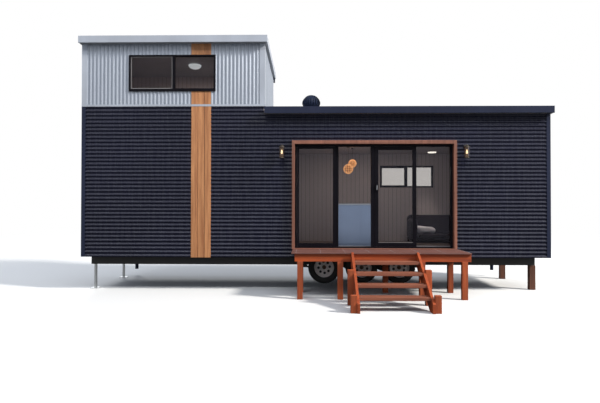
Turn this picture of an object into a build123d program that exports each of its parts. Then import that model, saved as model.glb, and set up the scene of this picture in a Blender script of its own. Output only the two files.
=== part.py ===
from build123d import *
import os
from math import ceil, cos, floor, radians, sin, tan

# A tiny house on a three-axle trailer: a long single room clad in dark
# horizontal corrugated steel, a bright loft box on its left end, a four-panel
# sliding door in a timber surround, a timber deck with an open stair, two
# lanterns and a turbine ventilator.
# Millimetres. +X runs along the front wall to the right, +Y goes from the
# front to the back, +Z is up. The origin is on the lowest ground, under the
# middle of everything.

# Body
house_length = 9300
house_depth = 2400
wall_thickness = 100
floor_height = 860
floor_thickness = 60
ceiling_height = 2100
ceiling_thickness = 20
main_eave = 3525
roof_pitch = 2.3
roof_thickness = 100
front_overhang = 135
rear_overhang = 50
side_overhang = 25
loft_inner_overhang = 55
fascia_board = 20
fascia_depth = 128
rib_spacing = 200
rib_height = 20
rib_width = 60

# Corrugated sheet
corrugation_pitch = 76.2
corrugation_depth = 16
sheet_backing = 4
cladding_bottom = 677
corner_leg = 75
corner_metal = 3

# Loft
loft_length = 3670
loft_base = 3700
loft_eave = 4937
loft_fascia_depth = 130
loft_floor_thickness = 140
loft_access = 650
loft_corner_leg = 100
base_flashing_height = 42

# Timber strip beside the door end of the loft
strip_left = 2198
strip_board = 131
strip_boards = 3
strip_gap = 3
strip_thickness = 24
strip_bottom = 668

# Loft window and the highlight window in the back wall
loft_window_left = 951
loft_window_width = 1736
loft_window_sill = 3999
loft_window_height = 710
back_window_left = 6262
back_window_width = 1290
back_window_sill = 2150
back_window_height = 530
window_frame = 32
window_mullion = 46
loft_mullion_shift = 28
window_depth = 70
window_projection = 22
window_subsill = 18
glass_thickness = 8

# Sliding door: two sashes and two fixed lites in a timber surround
surround_left = 4212
surround_width = 3240
surround_jamb = 58
surround_head = 70
surround_projection = 75
surround_top = 2990
deck_height = 845
door_jamb = 38
door_head = 41
door_track = 30
mullion_left = 5784
mullion_width = 60
fixed_stile = 78
fixed_stile_lefts = (5060, 6610)
sash_ends = (5080, 6664)
sash_depth = 40
sash_stile = 54
left_sash_edges = (38, 52, 40)
right_sash_edges = (78, 72, 64)
track_inset = 5
track_spacing = 50
sash_clearance = 5
roller_radius = 14
roller_width = 12
roller_seat = 0.3
handle_height = 1143
handle_length = 108
handle_width = 26
handle_reach = 30

# Deck
deck_left = 4232
deck_width = 3250
deck_depth = 900
deck_overhang = 60
nosing = 40
deck_boards = 9
deck_gap = 5
deck_board_thickness = 22
bearer_depth = 140
bearer_thickness = 45
deck_joists = 8
deck_post = 100
front_posts = (4390, 5120, 6600, 7365)
rear_posts = (4390, 6050, 7316)

# Stair
stair_left = 5313
stair_width = 1224
stair_run = 1235
stringer_depth = 240
stringer_thickness = 45
stringer_rise = 15
treads = 4
first_going = 260
going = 280
stair_angle = 29.8
tread_depth = 250
tread_thickness = 50
stair_post = 100
mid_post_distance = 500
mid_post_rise = 30
foot_post_distance = 1160
foot_post_rise = 85

# Trailer
rail_bottom = 495
rail_depth = 200
rail_width = 60
rail_wall = 8
rail_inset = 360
rail_end_left = 60
rail_end_right = 160
joist_width = 50
joist_gap = 1
rim_inset = 20
axle_middle = 5605
axle_spacing = 750
axle_height = 465
axle_square = 50
spindle_radius = 20
spring_thickness = 30
spring_rise = 36
spring_pad = 5
pad_length = 80
spring_length = 700
hanger_length = 90
axle_inset = 300
tyre_radius = 320
tyre_width = 185
tyre_shoulder = 24
tyre_inset = 95
rim_radius = 196
rim_width = 150
rim_wall = 10
bead_gap = 0.3
wheel_flats = 30
hub_radius = 46
hub_length = 70
hub_clearance = 0.3
hub_cap = 8
disc_thickness = 10
disc_offset = 12
wheel_holes = 8
wheel_hole_radius = 21
wheel_hole_circle = 118
wheel_hole_flats = 8
leg_size = 45
leg_foot = 160
leg_plate = 10
support_post = 115

# Roof turbine
vent_from_left = 4595
vent_from_front = 800
vent_top = 4067
vent_skirt = 460
throat_radius = 150
throat_wall = 3
throat_top = 3790
rotor_belly = 195
rotor_crown = 105
crown_rise = 22
vane_count = 24
vane_sweep = 15
vane_metal = 2
vane_offset = 60
spindle_rod = 8
vent_hub = 24
vent_running_gap = 6

# Lanterns
lantern_offsets = (4014, 7637)
lantern_top = 2905
lantern_height = 285
lantern_reach = 95
jar_radius = 55

# Room fittings
bench_left = 5110
bench_length = 760
bench_from_front = 500
bench_depth = 800
bench_height = 885
bench_top = 30
bench_top_lap = 15
pendants = ((5493, 1000, 2622, 84), (5383, 750, 2484, 100))
pendant_stem = 4
ceiling_lights = ((7412, 1850),)
ceiling_light_radius = 100
ceiling_light_depth = 22
loft_light = (1960, 1400)
loft_light_radius = 145
loft_light_depth = 85
sofa_left = 6865
sofa_length = 1750
sofa_wall_gap = 30
sofa_depth = 820
sofa_back_height = 660
sofa_seat_height = 200
sofa_arm = 190
sofa_leg = 40
cushion_left = 7075
cushion_width = 450
cushion_height = 185
cushion_depth = 130

# Rear drainage
gutter_width = 100
gutter_height = 90
gutter_wall = 4
gutter_lap = 30
gutter_brackets = 6
bracket_width = 30
downpipe_radius = 40
downpipe_bottom = 150

# Places worked out from the sizes above
front = (deck_depth + stair_run - house_depth - rear_overhang + gutter_lap - gutter_width) / 2
back = front + house_depth
left = -house_length / 2
right = left + house_length
cladding = corrugation_depth + sheet_backing
inside_front = front + cladding + wall_thickness
inside_back = back - cladding - wall_thickness
inside_left = left + cladding + wall_thickness
inside_right = right - cladding - wall_thickness
ceiling = floor_height + ceiling_height
loft_right = left + loft_length
fall = tan(radians(roof_pitch))
front_plate = main_eave - (cladding + wall_thickness) * fall
back_plate = main_eave - house_depth * fall
loft_front_plate = loft_eave - (cladding + wall_thickness) * fall
loft_back_plate = loft_eave - house_depth * fall
door_left = left + surround_left + surround_jamb
door_right = door_left + surround_width - 2 * surround_jamb
door_top = surround_top - surround_head
CORNER = (Align.MIN, Align.MIN, Align.MIN)


def block(x, y, z, mode=Mode.ADD):
    """A square-cut block between three pairs of limits, in the piece being made."""
    with Locations((x[0], y[0], z[0])):
        Box(x[1] - x[0], y[1] - y[0], z[1] - z[0], align=CORNER, mode=mode)


def save(piece, name):
    """Labels a finished piece and writes it as its own file."""
    piece.part.label = name
    export_step(piece.part, f"parts/{name}.step")


def roof_underside(eave):
    """The plane of a roof's underside, which falls from the front to the back."""
    up = (0, sin(radians(roof_pitch)), cos(radians(roof_pitch)))
    return Plane(origin=(0, front, eave), z_dir=up)


def corrugated_section(plane, start, stop):
    """Section of a corrugated sheet from start to stop along its cover width.

    On the plane, x is the depth, with the crests at 0 and a flat back, and y is
    the cover width. Each corrugation is a crest, a web, a valley and a web.
    """
    quarter = corrugation_pitch / 4
    first = floor(start / corrugation_pitch)
    last = ceil(stop / corrugation_pitch)
    wave = []
    for turn in range(first, last):
        base = turn * corrugation_pitch
        wave += [(0, base), (0, base + quarter)]
        wave += [(corrugation_depth, base + 2 * quarter), (corrugation_depth, base + 3 * quarter)]
    wave.append((0, last * corrugation_pitch))
    with BuildSketch(plane) as section:
        with BuildLine():
            backing = [(cladding, last * corrugation_pitch), (cladding, first * corrugation_pitch)]
            Polyline(*wave, *backing, close=True)
        make_face()
        with Locations((0, start)):
            Rectangle(cladding, stop - start, align=(Align.MIN, Align.MIN), mode=Mode.INTERSECT)
    return section.sketch


def level_sheet(corner, along, inward, length, z):
    """Sheet with level corrugations, from its outer corner along the wall."""
    plane = Plane(origin=(corner[0], corner[1], 0), x_dir=inward, z_dir=along)
    extrude(to_extrude=corrugated_section(plane, *z), amount=length)


def upright_sheet(corner, along, width, z):
    """Sheet with upright corrugations, from its outer corner along the wall."""
    plane = Plane(origin=(corner[0], corner[1], z[1]), x_dir=(-along[1], along[0], 0), z_dir=(0, 0, -1))
    extrude(to_extrude=corrugated_section(plane, *width), amount=z[1] - z[0])


def corner_angle(corner, to_x, to_y, leg, z):
    """Folded angle over an outside corner, with its legs along the two walls."""
    x, y = corner
    with BuildSketch(Plane.XY.offset(z[0])) as section:
        with BuildLine():
            Polyline(
                (x - to_x * corner_metal, y - to_y * corner_metal),
                (x + to_x * leg, y - to_y * corner_metal),
                (x + to_x * leg, y),
                (x, y),
                (x, y + to_y * leg),
                (x - to_x * corner_metal, y + to_y * leg),
                close=True,
            )
        make_face()
    extrude(to_extrude=section.sketch, amount=z[1] - z[0], dir=(0, 0, 1))


os.makedirs("parts", exist_ok=True)

# Trailer frame
rail_top = rail_bottom + rail_depth
rail_lines = ((front + rail_inset, 1), (back - rail_inset, -1))
with BuildPart() as chassis_rails:
    for line, inward in rail_lines:
        rail_y = sorted((line, line + inward * rail_width))
        groove_y = sorted((line + inward * rail_wall, line + inward * rail_width))
        rail_x = (left + rail_end_left, right - rail_end_right)
        block(rail_x, rail_y, (rail_bottom, rail_top))
        block(rail_x, groove_y, (rail_bottom + rail_wall, rail_top - rail_wall), mode=Mode.SUBTRACT)
save(chassis_rails, "chassis_rails")

joist_top = floor_height - floor_thickness
axle_lines = [left + axle_middle + turn * axle_spacing for turn in (-1, 0, 1)]
with BuildPart() as floor_joists:
    frame_x = (left + rim_inset, right - rim_inset)
    frame_y = (front + rim_inset, back - rim_inset)
    joist_y = (frame_y[0] + joist_width + joist_gap, frame_y[1] - joist_width - joist_gap)
    joist_starts = [axle_lines[1] + (turn + 0.5) * axle_spacing - joist_width / 2 for turn in range(-7, 5)]
    block(frame_x, (frame_y[0], frame_y[0] + joist_width), (rail_top, joist_top))
    block(frame_x, (frame_y[1] - joist_width, frame_y[1]), (rail_top, joist_top))
    for start in [frame_x[0], *joist_starts, frame_x[1] - joist_width]:
        block((start, start + joist_width), joist_y, (rail_top, joist_top))
save(floor_joists, "floor_joists")

with BuildPart() as house_floor:
    floor_y = (front + cladding, back - cladding)
    block((left + cladding, right - cladding), floor_y, (joist_top, floor_height))
save(house_floor, "floor")

# Walls of the main room, standing on the floor
door_gap = (left + surround_left, left + surround_left + surround_width)
with BuildPart() as front_wall_left:
    block((left + cladding, door_gap[0]), (front + cladding, inside_front), (floor_height, front_plate))
save(front_wall_left, "front_wall_left")

with BuildPart() as front_wall_right:
    block((door_gap[1], right - cladding), (front + cladding, inside_front), (floor_height, front_plate))
save(front_wall_right, "front_wall_right")

with BuildPart() as front_wall_over_door:
    block(door_gap, (front + cladding, inside_front), (surround_top, front_plate))
save(front_wall_over_door, "front_wall_over_door")

back_window_x = (left + back_window_left, left + back_window_left + back_window_width)
back_window_z = (back_window_sill, back_window_sill + back_window_height)
with BuildPart() as back_wall:
    block((left + cladding, right - cladding), (inside_back, back - cladding), (floor_height, back_plate))
    block(back_window_x, (inside_back, back), back_window_z, mode=Mode.SUBTRACT)
save(back_wall, "back_wall")

with BuildPart() as end_walls:
    block((inside_right, right - cladding), (inside_front, inside_back), (floor_height, main_eave))
    split(bisect_by=roof_underside(main_eave), keep=Keep.BOTTOM)
    block((left + cladding, inside_left), (inside_front, inside_back), (floor_height, back_plate))
save(end_walls, "end_walls")

with BuildPart() as room_ceiling:
    ceiling_x = (loft_right - cladding, inside_right)
    block(ceiling_x, (inside_front, inside_back), (ceiling, ceiling + ceiling_thickness))
save(room_ceiling, "ceiling")

# Loft
loft_wall_x = (loft_right - cladding - wall_thickness, loft_right - cladding)
with BuildPart() as loft_floor:
    block(
        (inside_left, loft_wall_x[0] - loft_access),
        (inside_front, inside_back),
        (ceiling, ceiling + loft_floor_thickness),
    )
save(loft_floor, "loft_floor")

loft_window_x = (left + loft_window_left, left + loft_window_left + loft_window_width)
loft_window_z = (loft_window_sill, loft_window_sill + loft_window_height)
with BuildPart() as loft_front_wall:
    loft_wall_z = (front_plate, loft_front_plate)
    block((left + cladding, loft_wall_x[1]), (front + cladding, inside_front), loft_wall_z)
    block(loft_window_x, (front, inside_front), loft_window_z, mode=Mode.SUBTRACT)
save(loft_front_wall, "loft_front_wall")

with BuildPart() as loft_back_wall:
    block((left + cladding, loft_wall_x[1]), (inside_back, back - cladding), (back_plate, loft_back_plate))
save(loft_back_wall, "loft_back_wall")

with BuildPart() as loft_side_walls:
    block((left + cladding, inside_left), (inside_front, inside_back), (back_plate, loft_eave))
    block(loft_wall_x, (inside_front, inside_back), (ceiling, loft_eave))
    split(bisect_by=roof_underside(loft_eave), keep=Keep.BOTTOM)
save(loft_side_walls, "loft_side_walls")

# Dark corrugated cladding of the main room, with level corrugations
strip_width = strip_boards * strip_board + (strip_boards - 1) * strip_gap
strip_x = (left + strip_left, left + strip_left + strip_width)
main_clad_top = main_eave - cladding * fall
with BuildPart() as front_cladding:
    for x, z in (
        ((left + cladding, strip_x[0]), (cladding_bottom, loft_base)),
        ((strip_x[1], loft_right - cladding), (cladding_bottom, loft_base)),
        ((loft_right - cladding, door_gap[0]), (cladding_bottom, main_clad_top)),
        (door_gap, (surround_top, main_clad_top)),
        (door_gap, (cladding_bottom, deck_height)),
        ((door_gap[1], right - cladding), (cladding_bottom, main_clad_top)),
    ):
        level_sheet((x[0], front), (1, 0, 0), (0, 1, 0), x[1] - x[0], z)
save(front_cladding, "front_cladding")

with BuildPart() as back_cladding:
    for start, length, z in (
        (right - cladding, house_length - 2 * cladding, (cladding_bottom, back_plate)),
        (loft_right - cladding, loft_length - 2 * cladding, (back_plate, loft_base)),
    ):
        level_sheet((start, back), (-1, 0, 0), (0, -1, 0), length, z)
    block(back_window_x, (back - cladding, back), back_window_z, mode=Mode.SUBTRACT)
save(back_cladding, "back_cladding")

with BuildPart() as end_cladding:
    level_sheet((right, front), (0, 1, 0), (-1, 0, 0), house_depth, (cladding_bottom, main_eave))
    split(bisect_by=roof_underside(main_eave), keep=Keep.BOTTOM)
    level_sheet((left, back), (0, -1, 0), (1, 0, 0), house_depth, (cladding_bottom, loft_base))
save(end_cladding, "end_cladding")

# Bright corrugated cladding of the loft, with upright corrugations
with BuildPart() as loft_front_cladding:
    loft_clad_z = (loft_base, loft_eave - cladding * fall)
    upright_sheet((left, front), (1, 0), (cladding, loft_length - cladding), loft_clad_z)
    block(loft_window_x, (front, front + cladding), loft_window_z, mode=Mode.SUBTRACT)
    block(strip_x, (front, front + cladding), loft_clad_z, mode=Mode.SUBTRACT)
save(loft_front_cladding, "loft_front_cladding")

with BuildPart() as loft_rear_cladding:
    loft_rear_z = (loft_base, loft_back_plate)
    upright_sheet((loft_right, back), (-1, 0), (cladding, loft_length - cladding), loft_rear_z)
    upright_sheet((left, back), (0, -1), (0, house_depth), (loft_base, loft_eave))
    upright_sheet((loft_right, front), (0, 1), (0, house_depth), (main_eave, loft_eave))
    split(bisect_by=roof_underside(loft_eave), keep=Keep.BOTTOM)
    split(bisect_by=roof_underside(main_eave + roof_thickness + rib_height), keep=Keep.TOP)
save(loft_rear_cladding, "loft_rear_cladding")


with BuildPart() as corner_flashings:
    flashing_top = main_eave - corner_leg * fall
    rear_top = back_plate - corner_metal * fall
    corner_angle((left, front), 1, 1, corner_leg, (cladding_bottom, loft_base))
    corner_angle((left, back), 1, -1, corner_leg, (cladding_bottom, loft_base))
    corner_angle((right, front), -1, 1, corner_leg, (cladding_bottom, flashing_top))
    corner_angle((right, back), -1, -1, corner_leg, (cladding_bottom, rear_top))
save(corner_flashings, "corner_flashings")

with BuildPart() as loft_flashings:
    base_z = (loft_base - base_flashing_height / 2, loft_base + base_flashing_height / 2)
    rise_z = (base_z[1], loft_back_plate - corner_metal * fall)
    strip_face = front + cladding - strip_thickness
    flashing_x = (left - corner_metal, loft_right + corner_metal)
    block(flashing_x, (strip_face - corner_metal, strip_face), base_z)
    front_z = (base_z[1], loft_eave - loft_corner_leg * fall)
    corner_angle((left, front), 1, 1, loft_corner_leg, front_z)
    corner_angle((left, back), 1, -1, loft_corner_leg, rise_z)
    corner_angle((loft_right, front), -1, 1, loft_corner_leg, front_z)
    corner_angle((loft_right, back), -1, -1, loft_corner_leg, rise_z)
save(loft_flashings, "loft_flashings")

# Three upright boards from the skirt to the loft eave, cut by the loft window
with BuildPart() as timber_strip:
    for board in range(strip_boards):
        board_left = strip_x[0] + board * (strip_board + strip_gap)
        board_x = (board_left, board_left + strip_board)
        board_y = (strip_face, front + cladding)
        block(board_x, board_y, (strip_bottom, loft_window_z[0]))
        block(board_x, board_y, (loft_window_z[1], loft_eave - cladding * fall))
save(timber_strip, "timber_strip")

# Roofs: insulated panels with ribs down the slope, which falls to the back
roof_start = front - front_overhang + fascia_board
roof_stop = back + rear_overhang
roof_end = Plane(origin=(0, roof_stop, 0), z_dir=(0, 1, 0))
roof_run = (roof_stop - roof_start) / cos(radians(roof_pitch)) + 2 * rib_height


def roof_section_plane(x, eave):
    """Plane across a roof at its front edge, square to the slope, with y up."""
    return Plane(
        origin=(x, roof_start, eave + (front - roof_start) * fall),
        x_dir=(-1, 0, 0),
        z_dir=(0, cos(radians(roof_pitch)), -sin(radians(roof_pitch))),
    )


def roof_panel(x, eave):
    """A ribbed roof panel between two side limits, cut upright at the back."""
    width = x[1] - x[0]
    with BuildSketch(roof_section_plane((x[0] + x[1]) / 2, eave)) as section:
        Rectangle(width, roof_thickness, align=(Align.CENTER, Align.MIN))
        with Locations((0, roof_thickness)):
            with GridLocations(rib_spacing, 0, floor(width / rib_spacing), 1):
                Trapezoid(rib_width, rib_height, 60, align=(Align.CENTER, Align.MIN))
    extrude(to_extrude=section.sketch, amount=roof_run)
    split(bisect_by=roof_end, keep=Keep.BOTTOM)


def roof_edges(x, eave, depth, barges):
    """Front fascia over the given width, with barge boards between the given sides."""
    top = eave + front_overhang * fall + roof_thickness + rib_height
    block(x, (front - front_overhang, roof_start), (top - depth, top))
    for middle in barges:
        with BuildSketch(roof_section_plane(middle, eave)) as section:
            with Locations((0, roof_thickness + rib_height)):
                Rectangle(fascia_board, depth, align=(Align.CENTER, Align.MAX))
        extrude(to_extrude=section.sketch, amount=roof_run)
    split(bisect_by=roof_end, keep=Keep.BOTTOM)


main_roof_x = (loft_right, right + side_overhang)
loft_roof_x = (left - side_overhang, loft_right + loft_inner_overhang)
half_board = fascia_board / 2
with BuildPart() as main_roof:
    roof_panel((main_roof_x[0], main_roof_x[1] - fascia_board), main_eave)
save(main_roof, "main_roof")

with BuildPart() as main_roof_fascia:
    roof_edges(main_roof_x, main_eave, fascia_depth, [main_roof_x[1] - half_board])
save(main_roof_fascia, "main_roof_fascia")

with BuildPart() as loft_roof:
    roof_panel((loft_roof_x[0] + fascia_board, loft_roof_x[1] - fascia_board), loft_eave)
save(loft_roof, "loft_roof")

with BuildPart() as loft_roof_fascia:
    loft_barges = [loft_roof_x[0] + half_board, loft_roof_x[1] - half_board]
    roof_edges(loft_roof_x, loft_eave, loft_fascia_depth, loft_barges)
save(loft_roof_fascia, "loft_roof_fascia")

# Open gutters on brackets along the back, each with a pipe down to a free end
gutter_y = (roof_stop - gutter_lap, roof_stop - gutter_lap + gutter_width)
with BuildPart() as rear_drainage:
    for x, eave, pipe_x in (
        ((main_roof_x[0], main_roof_x[1] - fascia_board), main_eave, right - 3 * gutter_width),
        ((loft_roof_x[0] + fascia_board, loft_roof_x[1] - fascia_board), loft_eave, left + 3 * gutter_width),
    ):
        lip = eave - (roof_stop - front) * fall
        base = lip - gutter_height
        block(x, gutter_y, (base, lip))
        hollow_x = (x[0] + gutter_wall, x[1] - gutter_wall)
        hollow_y = (gutter_y[0] + gutter_wall, gutter_y[1] - gutter_wall)
        block(hollow_x, hollow_y, (base + gutter_wall, lip), mode=Mode.SUBTRACT)
        bracket_pitch = (x[1] - x[0]) / gutter_brackets
        for bracket in range(gutter_brackets):
            start = x[0] + (bracket + 0.5) * bracket_pitch
            block((start, start + bracket_width), (back, gutter_y[0]), (base, lip - gutter_wall))
        with BuildSketch(Plane.XY.offset(downpipe_bottom)):
            with Locations((pipe_x, (gutter_y[0] + gutter_y[1]) / 2)):
                Circle(downpipe_radius)
        extrude(amount=base - downpipe_bottom)
        for clip_z in (cladding_bottom + gutter_width, main_eave - 4 * gutter_width):
            clip_x = (pipe_x - bracket_width / 2, pipe_x + bracket_width / 2)
            block(clip_x, (back, gutter_y[0] + gutter_width / 2), (clip_z, clip_z + bracket_width))
save(rear_drainage, "rear_drainage")

# Windows, each with its limits, its frame's depth and the shift of its mullion
loft_frame_y = (front - window_projection, front - window_projection + window_depth)
back_frame_y = (back + window_projection - window_depth, back + window_projection)
windows = (
    (loft_window_x, loft_window_z, loft_frame_y, loft_mullion_shift),
    (back_window_x, back_window_z, back_frame_y, 0),
)


def window_panes(x, shift):
    """Side limits of a window's two panes, its mullion shifted from the middle."""
    middle = (x[0] + x[1]) / 2 + shift
    half = window_mullion / 2
    return (x[0] + window_frame, middle - half), (middle + half, x[1] - window_frame)


with BuildPart() as window_frames:
    for x, z, frame_y, shift in windows:
        block(x, frame_y, z)
        for pane in window_panes(x, shift):
            block(pane, frame_y, (z[0] + window_frame, z[1] - window_frame), mode=Mode.SUBTRACT)
    subsill_z = (loft_window_z[0] - window_subsill, loft_window_z[0])
    block(loft_window_x, (front - window_projection, strip_face), subsill_z)
save(window_frames, "window_frames")

# Door surround: jambs and head line the whole wall, the sill is flush with the floor
surround_front = front - surround_projection
with BuildPart() as door_surround:
    block(door_gap, (surround_front, front + cladding), (deck_height, floor_height))
    block(door_gap, (surround_front, inside_front), (floor_height, surround_top))
    inner_x = (door_left, door_right)
    block(inner_x, (surround_front, inside_front), (floor_height, door_top), mode=Mode.SUBTRACT)
save(door_surround, "door_surround")

# Door frame with its centre mullion and the two fixed lites on the inner track
door_y = (front + cladding, inside_front)
outer_track = (door_y[0] + track_inset, door_y[0] + track_inset + sash_depth)
inner_track = (outer_track[0] + track_spacing, outer_track[1] + track_spacing)
opening_z = (floor_height + door_track, door_top - door_head)
mullion_x = (left + mullion_left, left + mullion_left + mullion_width)
lites = (
    (left + fixed_stile_lefts[0], mullion_x[0]),
    (left + fixed_stile_lefts[1], door_right - door_jamb),
)
with BuildPart() as door_frame:
    block((door_left, door_right), door_y, (floor_height, door_top))
    block((door_left + door_jamb, mullion_x[0]), door_y, opening_z, mode=Mode.SUBTRACT)
    block((mullion_x[1], door_right - door_jamb), door_y, opening_z, mode=Mode.SUBTRACT)
    for lite in lites:
        block((lite[0], lite[0] + fixed_stile), inner_track, opening_z)
save(door_frame, "door_frame")


def pane_between(track):
    """Limits of a pane of glass in the middle of a track."""
    middle = (track[0] + track[1]) / 2
    return (middle - glass_thickness / 2, middle + glass_thickness / 2)


with BuildPart() as fixed_glass:
    for lite in lites:
        block((lite[0] + fixed_stile, lite[1]), pane_between(inner_track), opening_z)
    for x, z, frame_y, shift in windows:
        for pane in window_panes(x, shift):
            block(pane, pane_between(frame_y), (z[0] + window_frame, z[1] - window_frame))
save(fixed_glass, "fixed_glass")

# Sliding sashes on the outer track, each on two rollers, one with a pull handle
sash_z = (opening_z[0] + sash_clearance, opening_z[1] - sash_clearance)


def sash_pane(x, edges):
    """Side limits and height limits of a sash's pane inside its stiles and rails."""
    lock_stile, bottom_rail, top_rail = edges
    return (x[0] + lock_stile, x[1] - sash_stile), (sash_z[0] + bottom_rail, sash_z[1] - top_rail)


def sash_body(x, pane_x, pane_z):
    """Stiles and rails around the pane, with two rollers let into the bottom rail."""
    block(x, outer_track, sash_z)
    block(pane_x, outer_track, pane_z, mode=Mode.SUBTRACT)
    roller_y = (outer_track[0] + outer_track[1] - roller_width) / 2
    roller_z = opening_z[0] + roller_seat + roller_radius
    for across in pane_x:
        side = Plane(origin=(across, roller_y, roller_z), x_dir=(1, 0, 0), z_dir=(0, -1, 0))
        with BuildSketch(side) as section:
            Circle(roller_radius)
        extrude(to_extrude=section.sketch, amount=-roller_width)


left_sash_x = (door_left + door_jamb + sash_clearance, left + sash_ends[0])
right_sash_x = (mullion_x[1] + sash_clearance, left + sash_ends[1])
left_pane = sash_pane(left_sash_x, left_sash_edges)
right_pane = sash_pane(right_sash_x, right_sash_edges)
with BuildPart() as left_sash:
    sash_body(left_sash_x, *left_pane)
save(left_sash, "left_sash")

with BuildPart() as right_sash:
    sash_body(right_sash_x, *right_pane)
    handle_middle = (right_sash_x[0] + right_pane[0][0]) / 2
    handle_x = (handle_middle - handle_width / 2, handle_middle + handle_width / 2)
    handle_z = (floor_height + handle_height, floor_height + handle_height + handle_length)
    block(handle_x, (outer_track[0] - handle_reach, outer_track[0]), handle_z)
save(right_sash, "right_sash")

with BuildPart() as left_sash_glass:
    block(left_pane[0], pane_between(outer_track), left_pane[1])
save(left_sash_glass, "left_sash_glass")

with BuildPart() as right_sash_glass:
    block(right_pane[0], pane_between(outer_track), right_pane[1])
save(right_sash_glass, "right_sash_glass")

# Deck
deck_x = (left + deck_left, left + deck_left + deck_width)
deck_y = (front - deck_depth, front - deck_gap)
board_width = (deck_y[1] - deck_y[0] - (deck_boards - 1) * deck_gap) / deck_boards
frame_top = deck_height - deck_board_thickness
with BuildPart() as deck_planks:
    for board in range(deck_boards):
        start = deck_y[0] + board * (board_width + deck_gap)
        block(deck_x, (start, start + board_width), (frame_top, deck_height))
save(deck_planks, "deck_boards")

frame_x = (deck_x[0] + deck_overhang, deck_x[1])
frame_y = (deck_y[0] + nosing, deck_y[1])
frame_z = (frame_top - bearer_depth, frame_top)
joists_y = (frame_y[0] + bearer_thickness, frame_y[1] - bearer_thickness)
with BuildPart() as deck_frame:
    block(frame_x, (frame_y[0], joists_y[0]), frame_z)
    block(frame_x, (joists_y[1], frame_y[1]), frame_z)
save(deck_frame, "deck_frame")

with BuildPart() as deck_bearers:
    joist_pitch = (frame_x[1] - frame_x[0] - bearer_thickness) / (deck_joists - 1)
    for joist in range(deck_joists):
        start = frame_x[0] + joist * joist_pitch
        block((start, start + bearer_thickness), joists_y, frame_z)
save(deck_bearers, "deck_joists")

front_row = frame_y[0] + bearer_thickness / 2
rear_row = frame_y[1] - deck_post / 2
with BuildPart() as deck_posts:
    for row, places in ((front_row, front_posts), (rear_row, rear_posts)):
        for place in places:
            middle = left + place
            block(
                (middle - deck_post / 2, middle + deck_post / 2),
                (row - deck_post / 2, row + deck_post / 2),
                (0, frame_z[0]),
            )
save(deck_posts, "deck_posts")

# Stair: two stringers from the deck's edge to the ground, with open risers
stair_top = front - deck_depth
slope = tan(radians(stair_angle))


def stringer_top(distance):
    """Height of the stringers' top edge at a distance out from the deck."""
    return deck_height + stringer_rise - distance * slope


upright_depth = stringer_depth / cos(radians(stair_angle))
ground_reach = (stringer_top(0) - upright_depth) / slope
with BuildPart() as stair_stringers:
    for x in (left + stair_left, left + stair_left + stair_width - stringer_thickness):
        with BuildSketch(Plane(origin=(x, stair_top, 0), x_dir=(0, 1, 0), z_dir=(1, 0, 0))):
            with BuildLine():
                Polyline(
                    (0, stringer_top(0)),
                    (-stair_run, stringer_top(stair_run)),
                    (-stair_run, 0),
                    (-ground_reach, 0),
                    (nosing, stringer_top(-nosing) - upright_depth),
                    (nosing, frame_top),
                    (0, frame_top),
                    close=True,
                )
            make_face()
        extrude(amount=stringer_thickness)
save(stair_stringers, "stair_stringers")

with BuildPart() as stair_treads:
    tread_start = left + stair_left + stringer_thickness
    tread_x = (tread_start, tread_start + stair_width - 2 * stringer_thickness)
    for step in range(treads):
        distance = first_going + step * going
        nose = stair_top - distance
        top = stringer_top(distance)
        block(tread_x, (nose, nose + tread_depth), (top - tread_thickness, top))
save(stair_treads, "stair_treads")

with BuildPart() as stair_posts:
    for distance, rise in ((mid_post_distance, mid_post_rise), (foot_post_distance, foot_post_rise)):
        for start in (left + stair_left - stair_post, left + stair_left + stair_width):
            block(
                (start, start + stair_post),
                (stair_top - distance - stair_post / 2, stair_top - distance + stair_post / 2),
                (0, stringer_top(distance) + rise),
            )
save(stair_posts, "stair_posts")

# Straight square axles over leaf springs that hang from the rails, and six wheels
half_axle = axle_square / 2
tip_inset = tyre_inset + tyre_width / 2 - hub_length / 2 + hub_cap + 2
with BuildPart() as axles:
    for x in axle_lines:
        beam_y = (front + axle_inset, back - axle_inset)
        block((x - half_axle, x + half_axle), beam_y, (axle_height - half_axle, axle_height + half_axle))
        for root, tip in ((beam_y[0], front + tip_inset), (beam_y[1], back - tip_inset)):
            with BuildSketch(Plane(origin=(x, root, axle_height), x_dir=(1, 0, 0), z_dir=(0, -1, 0))):
                Circle(spindle_radius)
            extrude(amount=root - tip)
save(axles, "axles")

spring_seat = axle_height - half_axle - spring_pad - spring_thickness
with BuildPart() as suspension:
    for line, inward in rail_lines:
        start = min(line, line + inward * rail_width)
        with BuildSketch(Plane(origin=(0, start + rail_width, 0), x_dir=(1, 0, 0), z_dir=(0, -1, 0))):
            for x in axle_lines:
                ends = (x - spring_length / 2, x + spring_length / 2)
                with BuildLine():
                    lower = ThreePointArc(
                        (ends[0], spring_seat + spring_rise),
                        (x, spring_seat),
                        (ends[1], spring_seat + spring_rise),
                    )
                    upper = ThreePointArc(
                        (ends[0], spring_seat + spring_rise + spring_thickness),
                        (x, spring_seat + spring_thickness),
                        (ends[1], spring_seat + spring_rise + spring_thickness),
                    )
                    Line(lower @ 0, upper @ 0)
                    Line(lower @ 1, upper @ 1)
                make_face()
                with Locations((x, axle_height - half_axle)):
                    Rectangle(pad_length, spring_pad + spring_thickness / 2, align=(Align.CENTER, Align.MAX))
            for turn in range(len(axle_lines) + 1):
                with Locations((axle_lines[0] + (turn - 0.5) * axle_spacing, rail_bottom)):
                    hanger_drop = rail_bottom - spring_seat - spring_rise
                    Rectangle(hanger_length, hanger_drop, align=(Align.CENTER, Align.MAX))
        extrude(amount=rail_width)
save(suspension, "suspension")


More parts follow.
